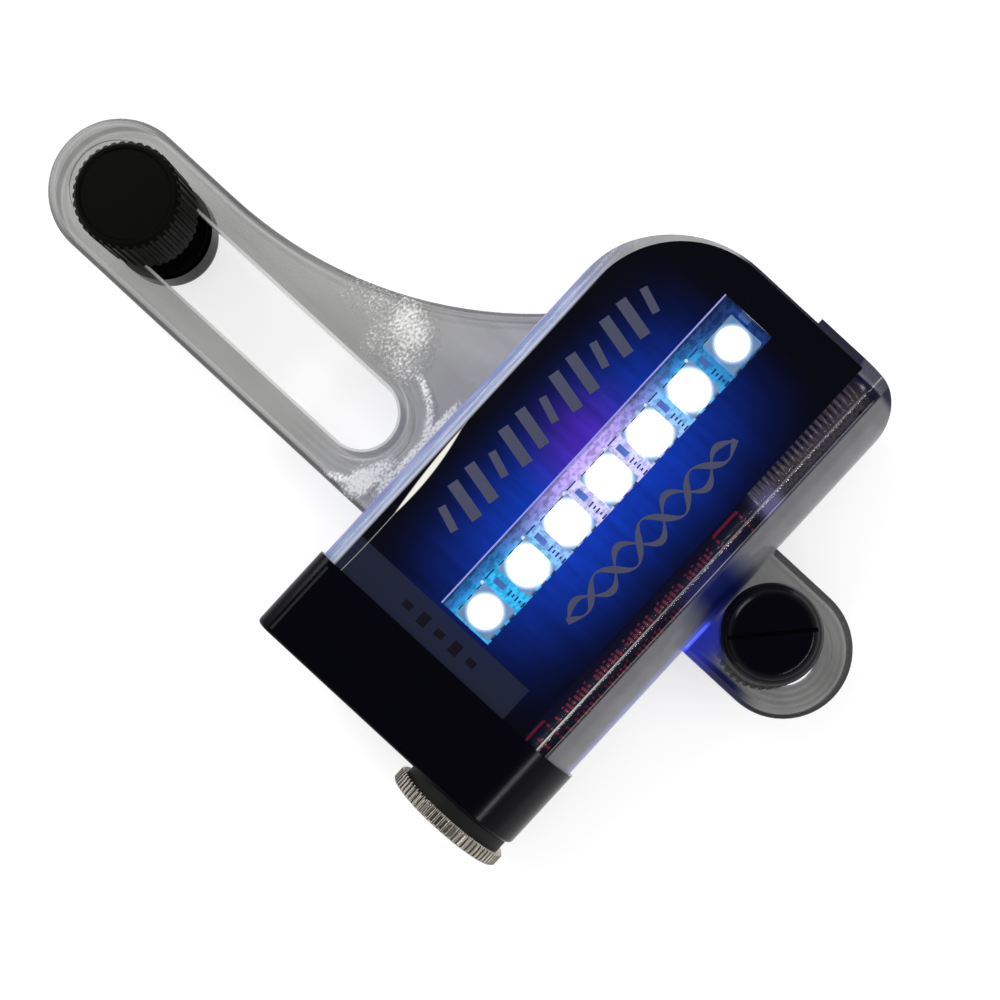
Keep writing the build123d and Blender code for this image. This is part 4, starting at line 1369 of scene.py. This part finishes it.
def tube(path: np.ndarray, radius: float, sides: int) -> np.ndarray:
    """Work out a round tube along a path.

    Each ring lies across the path's direction, on two axes: the cross product of the direction
    with a steady side vector, and the cross product of the direction with that.

    Args:
        path: array of points, in metres.
        radius: radius of the tube.
        sides: points in each ring.

    Returns:
        Array of rings by sides by three.
    """
    way = np.gradient(path, axis=0)
    way /= np.linalg.norm(way, axis=1, keepdims=True)
    steady = np.tile([0.0, 1.0, 0.0], (len(path), 1))
    first = np.cross(way, steady)
    first /= np.linalg.norm(first, axis=1, keepdims=True)
    second = np.cross(way, first)
    angle = np.linspace(0, 2 * math.pi, sides, endpoint=False)[None, :, None]
    return path[:, None] + radius * (np.cos(angle) * first[:, None] + np.sin(angle) * second[:, None])


def stroke(path: np.ndarray, half_width: np.ndarray | float, low: float, high: float,
           place: Placing) -> np.ndarray:
    """Work out a raised stroke of print along a path on a surface.

    Each row has four corners: to the left and right of the path by the half width, at the low and the
    high face. The side direction is the path's own direction turned a quarter turn.

    Args:
        path: array of points by two, in surface coordinates.
        half_width: half the stroke's width, one for all points or one for each.
        low: height of its lower face over the surface.
        high: height of its upper face over the surface.
        place: turns surface coordinates and height into a point in space.

    Returns:
        Array of rows by four by three.
    """
    way = np.gradient(path, axis=0)
    way /= np.linalg.norm(way, axis=1, keepdims=True)
    side = np.stack([-way[:, 1], way[:, 0]], axis=1) * np.broadcast_to(half_width, len(path))[:, None]
    rows = [(path - side, low), (path + side, low), (path + side, high), (path - side, high)]
    flat = np.stack([np.column_stack([edge, np.full(len(path), height)]) for edge, height in rows], axis=1)
    return place(flat)


def on_face(face: Face, level: float) -> Placing:
    """Return the placing of flat print on one face of the light.

    Args:
        face: which face.
        level: height of the face along Z.

    Returns:
        A function that keeps X and Y and counts heights away from the face.
    """

    def place(flat: np.ndarray) -> np.ndarray:
        """Return the points in space of flat places and heights."""
        return np.stack([flat[..., 0], flat[..., 1], level + face.value * flat[..., 2]], axis=-1)

    return place


def block(centre: Point, size: Point, round_share: float, sides: int = 24) -> np.ndarray:
    """Work out a soft-edged block as a closed grid of a superellipse in plan, drawn in at its top.

    Args:
        centre: middle of the block, in metres.
        size: its full width along each axis.
        round_share: power that squares the plan, smaller being squarer.
        sides: points round its plan.

    Returns:
        Array of rows by sides by three.
    """
    angle = np.linspace(0, 2 * math.pi, sides, endpoint=False)
    plan_x = np.sign(np.cos(angle)) * np.abs(np.cos(angle)) ** round_share
    plan_y = np.sign(np.sin(angle)) * np.abs(np.sin(angle)) ** round_share
    heights = np.array([-1.0, 0.7, 0.93, 1.0])
    shares = np.array([1.0, 1.0, 0.94, 0.82])
    points = np.empty((len(heights), len(angle), 3))
    points[..., 0] = centre[0] + size[0] / 2 * shares[:, None] * plan_x
    points[..., 1] = centre[1] + size[1] / 2 * shares[:, None] * plan_y
    points[..., 2] = centre[2] + size[2] / 2 * heights[:, None]
    return points


def dress(node: str, material: bpy.types.Material) -> None:
    """Give a node of the model one finish.

    Args:
        node: name of the node.
        material: its finish.
    """
    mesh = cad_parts[node].data
    mesh.materials.clear()
    mesh.materials.append(material)


def settle(piece: bpy.types.Object, body: Body) -> None:
    """Let a new piece ride on a body.

    Args:
        piece: the new piece.
        body: the body that it moves with.
    """
    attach(piece, body.value)
    log.info("%s rides on %s", piece.name, body.value)


@dataclass
class Studio:
    """Pale floor, soft lamps and the camera at the photograph's angle."""

    photo_width: float = 1000.0
    foot_x: float = 663.0
    foot_y: float = 716.0
    pixels_per_metre: float = 8185.0
    height_over_middle: float = 175 * MM
    camera_x: float = 43.4 * MM
    camera_y: float = -9.6 * MM
    turn: float = 42.69
    sensor: float = 36.0
    floor_size: float = 1.6
    floor_light: float = 0.60
    floor_dark: Colour = (0.58, 0.58, 0.58)
    floor_pale: Colour = (0.60, 0.60, 0.60)
    sky_light: float = 0.576
    sky_rise: Span = (0.15, 0.95)
    sky_gloss: Span = (0.8, 0.064)
    key_place: Point = (-0.46, 0.06, 0.40)
    key_size: Span = (0.26, 0.26)
    key_power: float = 1.7
    strip_place: Point = (0.44, 0.06, 0.42)
    strip_size: Span = (0.60, 0.020)
    strip_power: float = 1.1

    def camera(self, middle_z: float) -> None:
        """Place the camera straight above the light, shifted as the photograph is.

        Args:
            middle_z: height of the light's middle plane.
        """
        lens = bpy.data.cameras.new("camera")
        lens.sensor_width = self.sensor
        lens.lens = self.sensor * self.pixels_per_metre * self.height_over_middle / self.photo_width
        lens.shift_x = 0.5 - self.foot_x / self.photo_width
        lens.shift_y = self.foot_y / self.photo_width - 0.5
        lens.clip_start = 0.005
        camera = bpy.data.objects.new("camera", lens)
        camera.location = (self.camera_x, self.camera_y, middle_z + self.height_over_middle)
        camera.rotation_euler = (0.0, 0.0, math.radians(self.turn))
        bpy.context.scene.collection.objects.link(camera)
        bpy.context.scene.camera = camera

    def floor(self) -> None:
        """Lay the pale floor: plain diffuse, with a little light of its own for what looks at it."""
        half = self.floor_size / 2
        corners = np.array([[[-half, -half, 0.0], [half, -half, 0.0]],
                            [[-half, half, 0.0], [half, half, 0.0]]])
        surfaces = Surfaces()
        surfaces.grid(corners)
        graph = Graph("floor")
        path = graph.add("ShaderNodeLightPath")
        seen = graph.most(path.outputs["Is Camera Ray"], path.outputs["Is Glossy Ray"],
                          path.outputs["Is Transmission Ray"])
        tone = graph.mix(graph.noise(0.2, 1.0), self.floor_dark, self.floor_pale)
        own = graph.both(seen, self.floor_light)
        material = graph.set(base_color=tone, roughness=0.9, specular_ior_level=0.0,
                             emission_color=(1.0, 1.0, 1.0), emission_strength=own)
        floor = surfaces.piece("floor", material)

    def world(self) -> None:
        """Fill the sky: white to look at, a soft light, and in gloss white low down and dark overhead."""
        world = bpy.data.worlds.new("sky")
        world.use_nodes = True
        tree = world.node_tree
        tree.nodes.clear()
        output = tree.nodes.new("ShaderNodeOutputWorld")
        back = tree.nodes.new("ShaderNodeBackground")
        back.inputs["Color"].default_value = (1.0, 1.0, 1.0, 1.0)
        path = tree.nodes.new("ShaderNodeLightPath")
        place = tree.nodes.new("ShaderNodeTexCoord")
        split = tree.nodes.new("ShaderNodeSeparateXYZ")
        rise = tree.nodes.new("ShaderNodeMapRange")
        rise.interpolation_type = "SMOOTHSTEP"
        rise.inputs["From Min"].default_value, rise.inputs["From Max"].default_value = self.sky_rise
        rise.inputs["To Min"].default_value, rise.inputs["To Max"].default_value = self.sky_gloss
        choose = tree.nodes.new("ShaderNodeMix")
        even = tree.nodes.new("ShaderNodeMix")
        even.inputs[3].default_value = 1.0
        choose.inputs[2].default_value = self.sky_light
        tree.links.new(place.outputs["Generated"], split.inputs[0])
        tree.links.new(split.outputs["Z"], rise.inputs["Value"])
        tree.links.new(path.outputs["Is Glossy Ray"], choose.inputs[0])
        tree.links.new(rise.outputs["Result"], choose.inputs[3])
        tree.links.new(path.outputs["Is Camera Ray"], even.inputs[0])
        tree.links.new(choose.outputs[0], even.inputs[2])
        tree.links.new(even.outputs[0], back.inputs["Strength"])
        tree.links.new(back.outputs[0], output.inputs["Surface"])
        bpy.context.scene.world = world

    def lamp(self, name: str, place: Point, size: Span, power: float) -> None:
        """Hang a soft lamp that looks at the light.

        Args:
            name: name of the lamp.
            place: where it hangs, in metres.
            size: its two sides.
            power: its power in watts.
        """
        data = bpy.data.lights.new(name, "AREA")
        data.shape = "RECTANGLE"
        data.size, data.size_y = size
        data.energy = power
        lamp = bpy.data.objects.new(name, data)
        lamp.location = place
        reach = math.hypot(place[0], place[1])
        lamp.rotation_euler = (math.atan2(reach, place[2]), 0.0, math.atan2(place[0], -place[1]))
        bpy.context.scene.collection.objects.link(lamp)

    def build(self, middle_z: float) -> None:
        """Set up the camera, the floor, the sky and two soft lamps.

        Args:
            middle_z: height of the light's middle plane.
        """
        self.camera(middle_z)
        self.floor()
        self.world()
        self.lamp("key", self.key_place, self.key_size, self.key_power)
        self.lamp("strip", self.strip_place, self.strip_size, self.strip_power)
        bpy.context.scene.view_settings.view_transform = "Standard"


@dataclass
class FilmPrint:
    """Generic print on the film: slanted bars, a double wave and a row of short dashes, and a painted
    highlight rim by the lamp window.
    """

    lamps: Lamps
    film_low: np.ndarray
    film_high: np.ndarray
    thickness: float = 0.012 * MM
    bar_count: int = 13
    bar_pitch: float = 2.9 * MM
    bar_height: float = 5.0 * MM
    bar_half_width: float = 0.72 * MM
    bar_slant: float = 0.55 * MM
    bar_gap: float = 3.6 * MM
    bar_shift: float = 0.6 * MM
    short_bar: float = 0.62
    thin_bar: float = 0.7
    wave_length: float = 29.0 * MM
    wave_height: float = 1.7 * MM
    wave_across: float = 8.6 * MM
    wave_shift: float = -1.7 * MM
    wave_bows: int = 7
    wave_points: int = 120
    wave_taper: float = 0.35
    layer_step: float = 0.4
    wave_width: Span = (0.26 * MM, 0.16 * MM)
    dash_up: float = 2.3 * MM
    dash_across: float = -6.4 * MM
    dash_pitch: float = 2.5 * MM
    dash_half_width: float = 0.62 * MM
    dash_halves: tuple[float, ...] = (0.45 * MM, 0.80 * MM, 0.45 * MM, 0.80 * MM, 0.45 * MM)
    window_half_width: float = 3.62 * MM
    window_half_length: float = 24.5 * MM
    trim_half_width: float = 0.09 * MM

    def strokes(self) -> list[tuple[np.ndarray, np.ndarray | float]]:
        """Return every stroke as a path of X and Y with its half width.

        Returns:
            The slanted bars left of the lamps, every third one short and thin, and two crossing waves
            right of them. A wave is a sine that dies out at both ends, and its width swells with a cosine.
        """
        middle_x = (self.film_low[0] + self.lamps.x - self.bar_gap) / 2
        start_y = self.lamps.middle_y + self.bar_shift - self.bar_pitch * (self.bar_count - 1) / 2
        paths = []
        for place in range(self.bar_count):
            y = start_y + place * self.bar_pitch
            reach = self.bar_height / 2 * (1.0 if place % 3 else self.short_bar)
            width = self.bar_half_width * (1.0 if place % 3 else self.thin_bar)
            paths.append((np.array([[middle_x - reach, y + self.bar_slant],
                                    [middle_x + reach, y - self.bar_slant]]), width))
        run = np.linspace(0, 1, self.wave_points)
        wave_x = self.lamps.x + self.wave_across
        wave_y = self.lamps.middle_y + self.wave_shift + self.wave_length * (run - 0.5)
        angle = self.wave_bows * math.pi * run
        for phase in (0.0, math.pi):
            swing = self.wave_height * np.sin(angle + phase) * np.sin(math.pi * run) ** self.wave_taper
            width = self.wave_width[0] + self.wave_width[1] * np.cos(2 * angle + phase)
            paths.append((np.stack([wave_x + swing, wave_y], axis=1), width))
        return paths

    def dashes(self) -> list[tuple[np.ndarray, float]]:
        """Return the short dark dashes on the grey band.

        Returns:
            A path for each dash with its half width.
        """
        y = self.film_low[1] + self.dash_up
        paths = []
        for place, half in enumerate(self.dash_halves):
            x = self.lamps.x + self.dash_across + place * self.dash_pitch
            paths.append((np.array([[x, y - half], [x, y + half]]), self.dash_half_width))
        return paths

    def trim_path(self) -> np.ndarray:
        """Return the path of the painted highlight rim along the lamp window's left side.

        Returns:
            Array of points by two.
        """
        left = self.lamps.x - self.window_half_width - self.trim_half_width
        half = self.window_half_length
        middle = self.lamps.middle_y
        return np.array([[left, middle - half], [left, middle - half / 3], [left, middle + half / 3],
                         [left, middle + half]])

    def build(self, pale: bpy.types.Material, dark: bpy.types.Material, lit: bpy.types.Material) -> None:
        """Print both faces, and lay the painted highlight rim on each.

        Args:
            pale: finish of the bars and waves.
            dark: finish of the dashes.
            lit: finish of the window's painted highlight rim.
        """
        for face, film_z in ((Face.FRONT, self.film_high[2]), (Face.BACK, self.film_low[2])):
            place = on_face(face, film_z)
            marks = Surfaces()
            for order, (path, width) in enumerate(self.strokes()):
                height = self.thickness * (1 + self.layer_step * (order % 2))
                marks.closed(stroke(path, width, 0.0, height, place))
            settle(marks.piece(f"film_print_{face.name.lower()}", pale), Body.CASE)
            short = Surfaces()
            for path, width in self.dashes():
                short.closed(stroke(path, width, 0.0, self.thickness, place))
            settle(short.piece(f"film_dashes_{face.name.lower()}", dark), Body.CASE)
            rim_highlight = Surfaces()
            rim_highlight.closed(stroke(self.trim_path(), self.trim_half_width, 0.0, self.thickness, place))
            settle(rim_highlight.piece(f"window_trim_{face.name.lower()}", lit), Body.CASE)


@dataclass
class BoardDetail:
    """Lamp terminals, solder, small marks and plated holes on both faces of the circuit board."""

    lamps: Lamps
    board_low: np.ndarray
    board_high: np.ndarray
    lamp_side: float = 5.0 * MM
    pad_length: float = 0.9 * MM
    pad_reach: float = 0.32 * MM
    pad_height: float = 0.55 * MM
    pad_round: float = 0.35
    terminal_gap: float = 1.65 * MM
    hole_radius: float = 0.22 * MM
    hole_sides: int = 16
    hole_across: float = 2.95 * MM
    hole_up: float = 1.3 * MM
    mark_height: float = 0.02 * MM
    tick_start: float = 0.4 * MM
    tick_pitch: float = 0.55 * MM
    tick_half_width: float = 0.11 * MM
    tick_halves: tuple[float, ...] = (0.42 * MM, 0.26 * MM, 0.36 * MM, 0.20 * MM, 0.40 * MM)
    side_tick_half: float = 0.8 * MM
    side_tick_half_width: float = 0.09 * MM

    def build(self, metal: bpy.types.Material, ink: bpy.types.Material, white: bpy.types.Material) -> None:
        """Make the terminals, the printed marks and the holes on each face.

        Args:
            metal: finish of the terminals.
            ink: finish of the marks.
            white: finish of the plated holes.
        """
        first = self.lamps.middle_y - self.lamps.pitch * (self.lamps.count - 1) / 2
        rows = first + self.lamps.pitch * np.arange(self.lamps.count)
        for face, board_z in ((Face.FRONT, self.board_high[2]), (Face.BACK, self.board_low[2])):
            name = face.name.lower()
            pads = Surfaces()
            for y in rows:
                for across in (-1, 1):
                    x = self.lamps.x + across * (self.lamp_side + self.pad_reach) / 2
                    for step in (-1, 0, 1):
                        pads.closed(block((x, y + step * self.terminal_gap,
                                           board_z + face.value * self.pad_height / 2),
                                          (self.pad_reach, self.pad_length, self.pad_height),
                                          self.pad_round))
            settle(pads.piece(f"lamp_terminals_{name}", metal, True), Body.CASE)
            self.print_marks(face, board_z, rows, ink, white)

    def print_marks(self, face: Face, board_z: float, rows: np.ndarray, ink: bpy.types.Material,
                    white: bpy.types.Material) -> None:
        """Print short ticks beside each lamp and set plated holes between them.

        Args:
            face: which face.
            board_z: height of the board's surface there.
            rows: places of the lamps along Y.
            ink: finish of the ticks.
            white: finish of the holes' rims.
        """
        place = on_face(face, board_z)
        ticks = Surfaces()
        holes = Surfaces()
        angle = np.linspace(0, 2 * math.pi, self.hole_sides, endpoint=False)
        for y in rows[:-1] + self.lamps.pitch / 2:
            for step, half in enumerate(self.tick_halves):
                x = self.lamps.x + self.tick_start + self.tick_pitch * step
                tick = np.array([[x, y - half], [x, y + half]])
                ticks.closed(stroke(tick, self.tick_half_width, 0.0, self.mark_height, place))
            for across in (-1, 1):
                x = self.lamps.x + across * self.hole_across
                tick = np.array([[x, y - self.side_tick_half], [x, y + self.side_tick_half]])
                ticks.closed(stroke(tick, self.side_tick_half_width, 0.0, self.mark_height, place))
                ring = np.stack([x + self.hole_radius * np.cos(angle),
                                 y + across * self.hole_up + self.hole_radius * np.sin(angle)], axis=1)
                lower = np.column_stack([ring, np.zeros(len(ring))])
                upper = np.column_stack([ring, np.full(len(ring), self.mark_height)])
                holes.closed(place(np.stack([lower, upper])))
        name = face.name.lower()
        settle(ticks.piece(f"board_ticks_{name}", ink), Body.CASE)
        settle(holes.piece(f"board_holes_{name}", white), Body.CASE)


@dataclass
class BatteryDetail:
    """Coil spring, and generic marks printed round the cell's wrap."""

    spring_low: np.ndarray
    spring_high: np.ndarray
    wrap_low: np.ndarray
    wrap_high: np.ndarray
    wire_radius: float = 0.18 * MM
    wire_sides: int = 10
    turns: int = 22
    turn_points: int = 28
    end_turns: float = 1.2
    end_climb: float = 0.55
    print_height: float = 0.008 * MM
    print_half_width: float = 0.17 * MM
    margin: float = 2.2 * MM
    first_dash: float = 5.5 * MM
    last_dash: float = 5.0 * MM
    row_places: tuple[float, ...] = (2.2 * MM, 4.4 * MM, -4.4 * MM, -9.5 * MM, 10.2 * MM)
    dash_halves: tuple[float, ...] = (0.48 * MM, 0.70 * MM, 0.56 * MM, 0.80 * MM)
    dash_slant: float = 0.1 * MM
    dash_step: float = 0.66 * MM
    word_step: float = 1.4 * MM
    word_dashes: int = 7
    frame_across: float = 3.0 * MM
    frame_half: float = 2.0 * MM
    sign_half: float = 1.1 * MM
    side_points: int = 6

    def spring(self, wire: bpy.types.Material) -> None:
        """Make the spring as a helix whose end turns close up.

        The angle runs evenly. The place along the axis climbs evenly too, but more slowly over the end
        turns, so that they lie close together.

        Args:
            wire: finish of the wire.
        """
        axis_x = (self.spring_low[0] + self.spring_high[0]) / 2
        axis_z = (self.spring_low[2] + self.spring_high[2]) / 2
        radius = (self.spring_high[0] - self.spring_low[0]) / 2 - self.wire_radius
        start = self.spring_low[1] + self.wire_radius
        span = self.spring_high[1] - self.spring_low[1] - 2 * self.wire_radius
        run = np.linspace(0, 1, self.turns * self.turn_points)
        ease = self.end_turns / self.turns
        slow = self.end_climb * ease
        climb = np.interp(run, [0, ease, 1 - ease, 1], [0, slow, 1 - slow, 1])
        angle = 2 * math.pi * self.turns * run
        path = np.stack([axis_x + radius * np.cos(angle), start + span * climb,
                         axis_z + radius * np.sin(angle)], axis=1)
        surfaces = Surfaces()
        surfaces.closed(tube(path, self.wire_radius, self.wire_sides))
        piece = surfaces.piece("stretching_spring", wire, True)
        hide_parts("battery_spring")
        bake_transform(piece)
        log.info("stretching_spring bends between case and battery")

    def marks(self, red: bpy.types.Material) -> None:
        """Print rows of dashes, two frames, a plus and a minus on the wrap.

        Surface coordinates are the angle round the cell times its radius, and the place along it.

        Args:
            red: finish of the print.
        """
        axis_x = (self.wrap_low[0] + self.wrap_high[0]) / 2
        axis_z = (self.wrap_low[2] + self.wrap_high[2]) / 2
        radius = (self.wrap_high[0] - self.wrap_low[0]) / 2

        def place(flat: np.ndarray) -> np.ndarray:
            """Wrap flat places and heights round the cell.

            Args:
                flat: places round and along the wrap, with the height over it.

            Returns:
                The points in space.
            """
            angle = flat[..., 0] / radius
            reach = radius + flat[..., 2]
            return np.stack([axis_x + reach * np.sin(angle), flat[..., 1], axis_z + reach * np.cos(angle)],
                            axis=-1)

        printed = Surfaces()

        def draw(path: np.ndarray, layers: int = 1) -> None:
            """Print a stroke along a path, as many layers high as asked."""
            printed.closed(stroke(path, self.print_half_width, 0.0, layers * self.print_height, place))

        low_y = self.wrap_low[1] + self.margin
        high_y = self.wrap_high[1] - self.margin
        for row, across in enumerate(self.row_places):
            y = low_y + self.first_dash
            step = 0
            while y < high_y - self.last_dash:
                half = self.dash_halves[(step + row) % len(self.dash_halves)]
                draw(np.array([[across - half, y], [across, y + self.dash_slant / 2],
                               [across + half, y + self.dash_slant]]))
                y += self.dash_step if step % self.word_dashes else self.word_step
                step += 1
        middle, half, sign = self.frame_across, self.frame_half, self.sign_half
        for y, plus in ((low_y + self.margin, True), (high_y - self.margin, False)):
            corners = np.array([[-half, -half], [half, -half], [half, half], [-half, half], [-half, -half]])
            for first, second in zip(corners[:-1], corners[1:]):
                run = np.linspace(0, 1, self.side_points)[:, None]
                draw(first + (second - first) * run + np.array([middle, y]))
            draw(np.array([[middle, y - sign], [middle, y + sign]]))
            if plus:
                across = middle + sign * np.linspace(-1, 1, self.side_points)
                draw(np.stack([across, np.full(self.side_points, y)], axis=1), layers=2)
        settle(printed.piece("wrap_marks", red), Body.BATTERY)


@dataclass
class ClampDetail:
    """Screw threads on the bolts' shanks, seen when a nut is undone."""

    thread_pitch: float = 0.8 * MM
    turns: int = 5
    turn_points: int = 36
    start_gap: float = 0.3 * MM
    shank_radius: float = 2.5 * MM
    ridge: float = 0.045 * MM
    root: float = -0.05 * MM
    half_section: float = 0.3

    def thread(self, name: str, body: Body, washer: str, side: int, finish: bpy.types.Material) -> None:
        """Wind a low ridge round the shank inside the nut.

        The ridge's middle is a helix of the thread's pitch, and its section is a flat triangle.

        Args:
            name: name of the new piece.
            body: the bolt that it belongs to.
            washer: node whose box gives the axis and the place along it.
            side: 1 if the nut is in front, or -1.
            finish: its finish.
        """
        low, high = (np.array(corner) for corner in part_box(washer))
        centre = (low + high) / 2
        start = high[2] if side > 0 else low[2]
        angle = np.linspace(0, 2 * math.pi * self.turns, self.turns * self.turn_points)
        climb = start + side * (self.start_gap + self.thread_pitch * angle / (2 * math.pi))
        rows = []
        section = ((self.root, -self.half_section), (self.ridge, 0.0), (self.root, self.half_section))
        for reach, shift in section:
            radius = self.shank_radius + reach
            rows.append(np.stack([centre[0] + radius * np.cos(angle),
                                  centre[1] + side * radius * np.sin(angle),
                                  climb + shift * self.thread_pitch], axis=1))
        surfaces = Surfaces()
        surfaces.closed(np.stack(rows, axis=1))
        settle(surfaces.piece(name, finish, True), body)


@dataclass
class CapDetail:
    """Fine moulded ridge along the left side of the end cap, on both faces, lighter than the cap as a painted
    highlight line.
    """

    cap_low: np.ndarray
    cap_high: np.ndarray
    inset: float = 2.3 * MM
    end_gap: float = 0.6 * MM
    length: float = 10.4 * MM
    half_width: float = 0.16 * MM
    height: float = 0.07 * MM

    def build(self, finish: bpy.types.Material) -> None:
        """Make the ridges: a flat stroke just over each face, sunk half its height into it.

        Args:
            finish: its finish.
        """
        x = self.cap_low[0] + self.inset
        path = np.array([[x, self.cap_low[1] + self.end_gap], [x, self.cap_low[1] + self.length / 2],
                         [x, self.cap_low[1] + self.length]])
        ridges = Surfaces()
        for face, face_z in ((Face.FRONT, self.cap_high[2]), (Face.BACK, self.cap_low[2])):
            ridges.closed(stroke(path, self.half_width, -self.height, self.height, on_face(face, face_z)))
        settle(ridges.piece("end_cap_ridges", finish), Body.CASE)


@dataclass
class WheelLight:
    """The whole light: its finishes, and the order in which its pieces are made."""

    lamp_count: int = 7
    case_wall: float = 2.1 * MM
    cap_lip: float = 0.45 * MM

    def lamps(self) -> Lamps:
        """Return where the lamps stand, read from the row of lamp fillings.

        Returns:
            The row's place along X, its middle, the lamps' pitch and their number.
        """
        low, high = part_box("led_lenses_front")
        diameter = high[0] - low[0]
        pitch = (high[1] - low[1] - diameter) / (self.lamp_count - 1)
        return Lamps((low[0] + high[0]) / 2, (low[1] + high[1]) / 2, pitch, self.lamp_count)

    def dress_nodes(self, lamps: Lamps) -> None:
        """Give each node of the model its finish.

        Args:
            lamps: where the lamps stand.
        """
        film_low, film_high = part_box("label_front")
        cap_low, cap_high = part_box("end_cap")
        arm_low, arm_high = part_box("outer_clamp_bush")
        tab_low, tab_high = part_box("inner_clamp_bush")
        case_left = film_low[0] - self.case_wall
        plastic = ClearPlastic(lamps, cad_low[0], case_left, cap_high[0] - self.cap_lip, cad_high[0],
                               (arm_low[1] + arm_high[1]) / 2, (tab_low[1] + tab_high[1]) / 2,
                               film_low[0], film_high[1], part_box("battery_wrap")[1][1],
                               (cad_low[2] + cad_high[2]) / 2).build()
        film = PrintedFilm(lamps, film_low[1], film_low[0], film_high[0]).build()
        shiny = Moulded("black_plastic", (0.0016, 0.0016, 0.0040), 0.16, 0.12).build()
        satin = Moulded("black_plastic_satin", (0.0020, 0.0022, 0.0014), 0.40, 0.03).build()
        nylon = Moulded("black_nylon", (0.002, 0.002, 0.002), 0.5, 0.05).build()
        rubber = Moulded("black_rubber", (0.008, 0.008, 0.008), 0.65, 0.2).build()
        ceramic = Moulded("chip_ceramic", (0.015, 0.03, 0.10), 0.4).build()
        epoxy = Moulded("chip_black", (0.012, 0.012, 0.012), 0.5).build()
        tan = Moulded("capacitor_body", (0.42, 0.24, 0.06), 0.45).build()
        card = Moulded("insulator", (0.75, 0.75, 0.70), 0.8, 0.2).build()
        wrap = Moulded("cell_wrap", (0.005, 0.001, 0.014), 0.25, 0.10, mottle=0.1).build()
        nickel = Plated("nickel", (0.78, 0.75, 0.68), 0.25).build()
        knurled = Plated("knurled_nickel", (0.42, 0.39, 0.34), 0.30, (1.0, 12.0, 1.0)).build()
        can = Plated("cell_can", (0.72, 0.72, 0.73), 0.3, (1.0, 9.0, 1.0)).build()
        # The chips' glow is painted lamp light.
        chips = Lit("chip_resistor", (0.08, 0.16, 0.44), 0.5).build()
        finishes = {
            "housing": plastic, "label_front": film, "label_back": film, "end_cap": shiny,
            "contact_sleeve": nickel, "sleeve_strip": nickel, "spring_contact": nickel,
            "battery_spring": nickel, "circuit_board": LitBoard(lamps).build(),
            "chip_resistors_front": chips, "chip_resistors_back": chips, "controller_chip": epoxy,
            "controller_pins": nickel, "boost_coil": ceramic, "storage_capacitor": tan,
            "motion_switch": nickel, "motion_switch_leads": nickel, "battery_cell": can,
            "battery_wrap": wrap, "battery_insulator": card, "battery_cap": knurled,
            "battery_cap_seal": rubber,
        }
        package = LampPackage(lamps).build()
        filling = LampFilling(lamps).build()
        for face in Face:
            finishes[f"leds_{face.name.lower()}"] = package
            finishes[f"led_lenses_{face.name.lower()}"] = filling
        for clamp in ("outer", "inner"):
            finishes[f"{clamp}_clamp_bolt"] = shiny
            finishes[f"{clamp}_thumb_nut"] = satin
            finishes[f"{clamp}_clamp_bush"] = nylon
            finishes[f"{clamp}_clamp_washer"] = nylon
        for node, material in finishes.items():
            dress(node, material)
        log.info("%d nodes dressed", len(finishes))

    def build(self) -> None:
        """Dress the nodes and make every new piece, in order."""
        lamps = self.lamps()
        self.dress_nodes(lamps)
        nodes = ("label_front", "label_back", "circuit_board", "battery_spring", "battery_wrap", "end_cap")
        corners = {node: tuple(np.array(corner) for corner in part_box(node)) for node in nodes}
        film_low = np.minimum(corners["label_front"][0], corners["label_back"][0])
        film_high = np.maximum(corners["label_front"][1], corners["label_back"][1])
        # The film print's glow is painted lamp light.
        pale = Lit("film_print", (0.050, 0.054, 0.095), 0.12).build()
        dark = Lit("film_dashes", (0.002, 0.002, 0.006)).build()
        # Painted highlight: a glowing lavender rim along the lamp window's left side.
        lit = Lit("window_trim", (0.20, 0.20, 0.50), 0.45).build()
        FilmPrint(lamps, film_low, film_high).build(pale, dark, lit)
        silver = Plated("terminal", (0.80, 0.80, 0.82), 0.3).build()
        # The board's ink and holes glow with painted lamp light.
        ink = Lit("board_ink", (0.02, 0.05, 0.25), 0.3).build()
        white = Lit("board_holes", (0.85, 0.9, 1.0), 0.6).build()
        BoardDetail(lamps, *corners["circuit_board"]).build(silver, ink, white)
        battery = BatteryDetail(*corners["battery_spring"], *corners["battery_wrap"])
        # The spring wire has a faint painted glow.
        battery.spring(Plated("spring_wire", (0.42, 0.34, 0.31), 0.25, glow=0.12).build())
        # The wrap's marks glow with painted lamp light.
        battery.marks(Lit("wrap_marks", (0.24, 0.006, 0.014), 0.36).build())
        # The ridge is a little lighter than the cap: a painted highlight line along its rounded side.
        ridge = Moulded("cap_ridge", (0.020, 0.020, 0.024), 0.25, 0.5).build()
        CapDetail(*corners["end_cap"]).build(ridge)
        clamps = ClampDetail()
        thread = Moulded("black_thread", (0.010, 0.010, 0.010), 0.35).build()
        clamps.thread("outer_bolt_thread", Body.OUTER_BOLT, "outer_clamp_washer", 1, thread)
        clamps.thread("inner_bolt_thread", Body.INNER_BOLT, "inner_clamp_washer", -1, thread)


def main() -> None:
    """Set the stage and build the light."""
    logging.basicConfig(level=logging.INFO, format="%(name)s: %(message)s")
    light_low, light_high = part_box("circuit_board")
    Studio().build((light_low[2] + light_high[2]) / 2)
    WheelLight().build()
    log.info("size written")


if __name__ == "__main__":
    main()
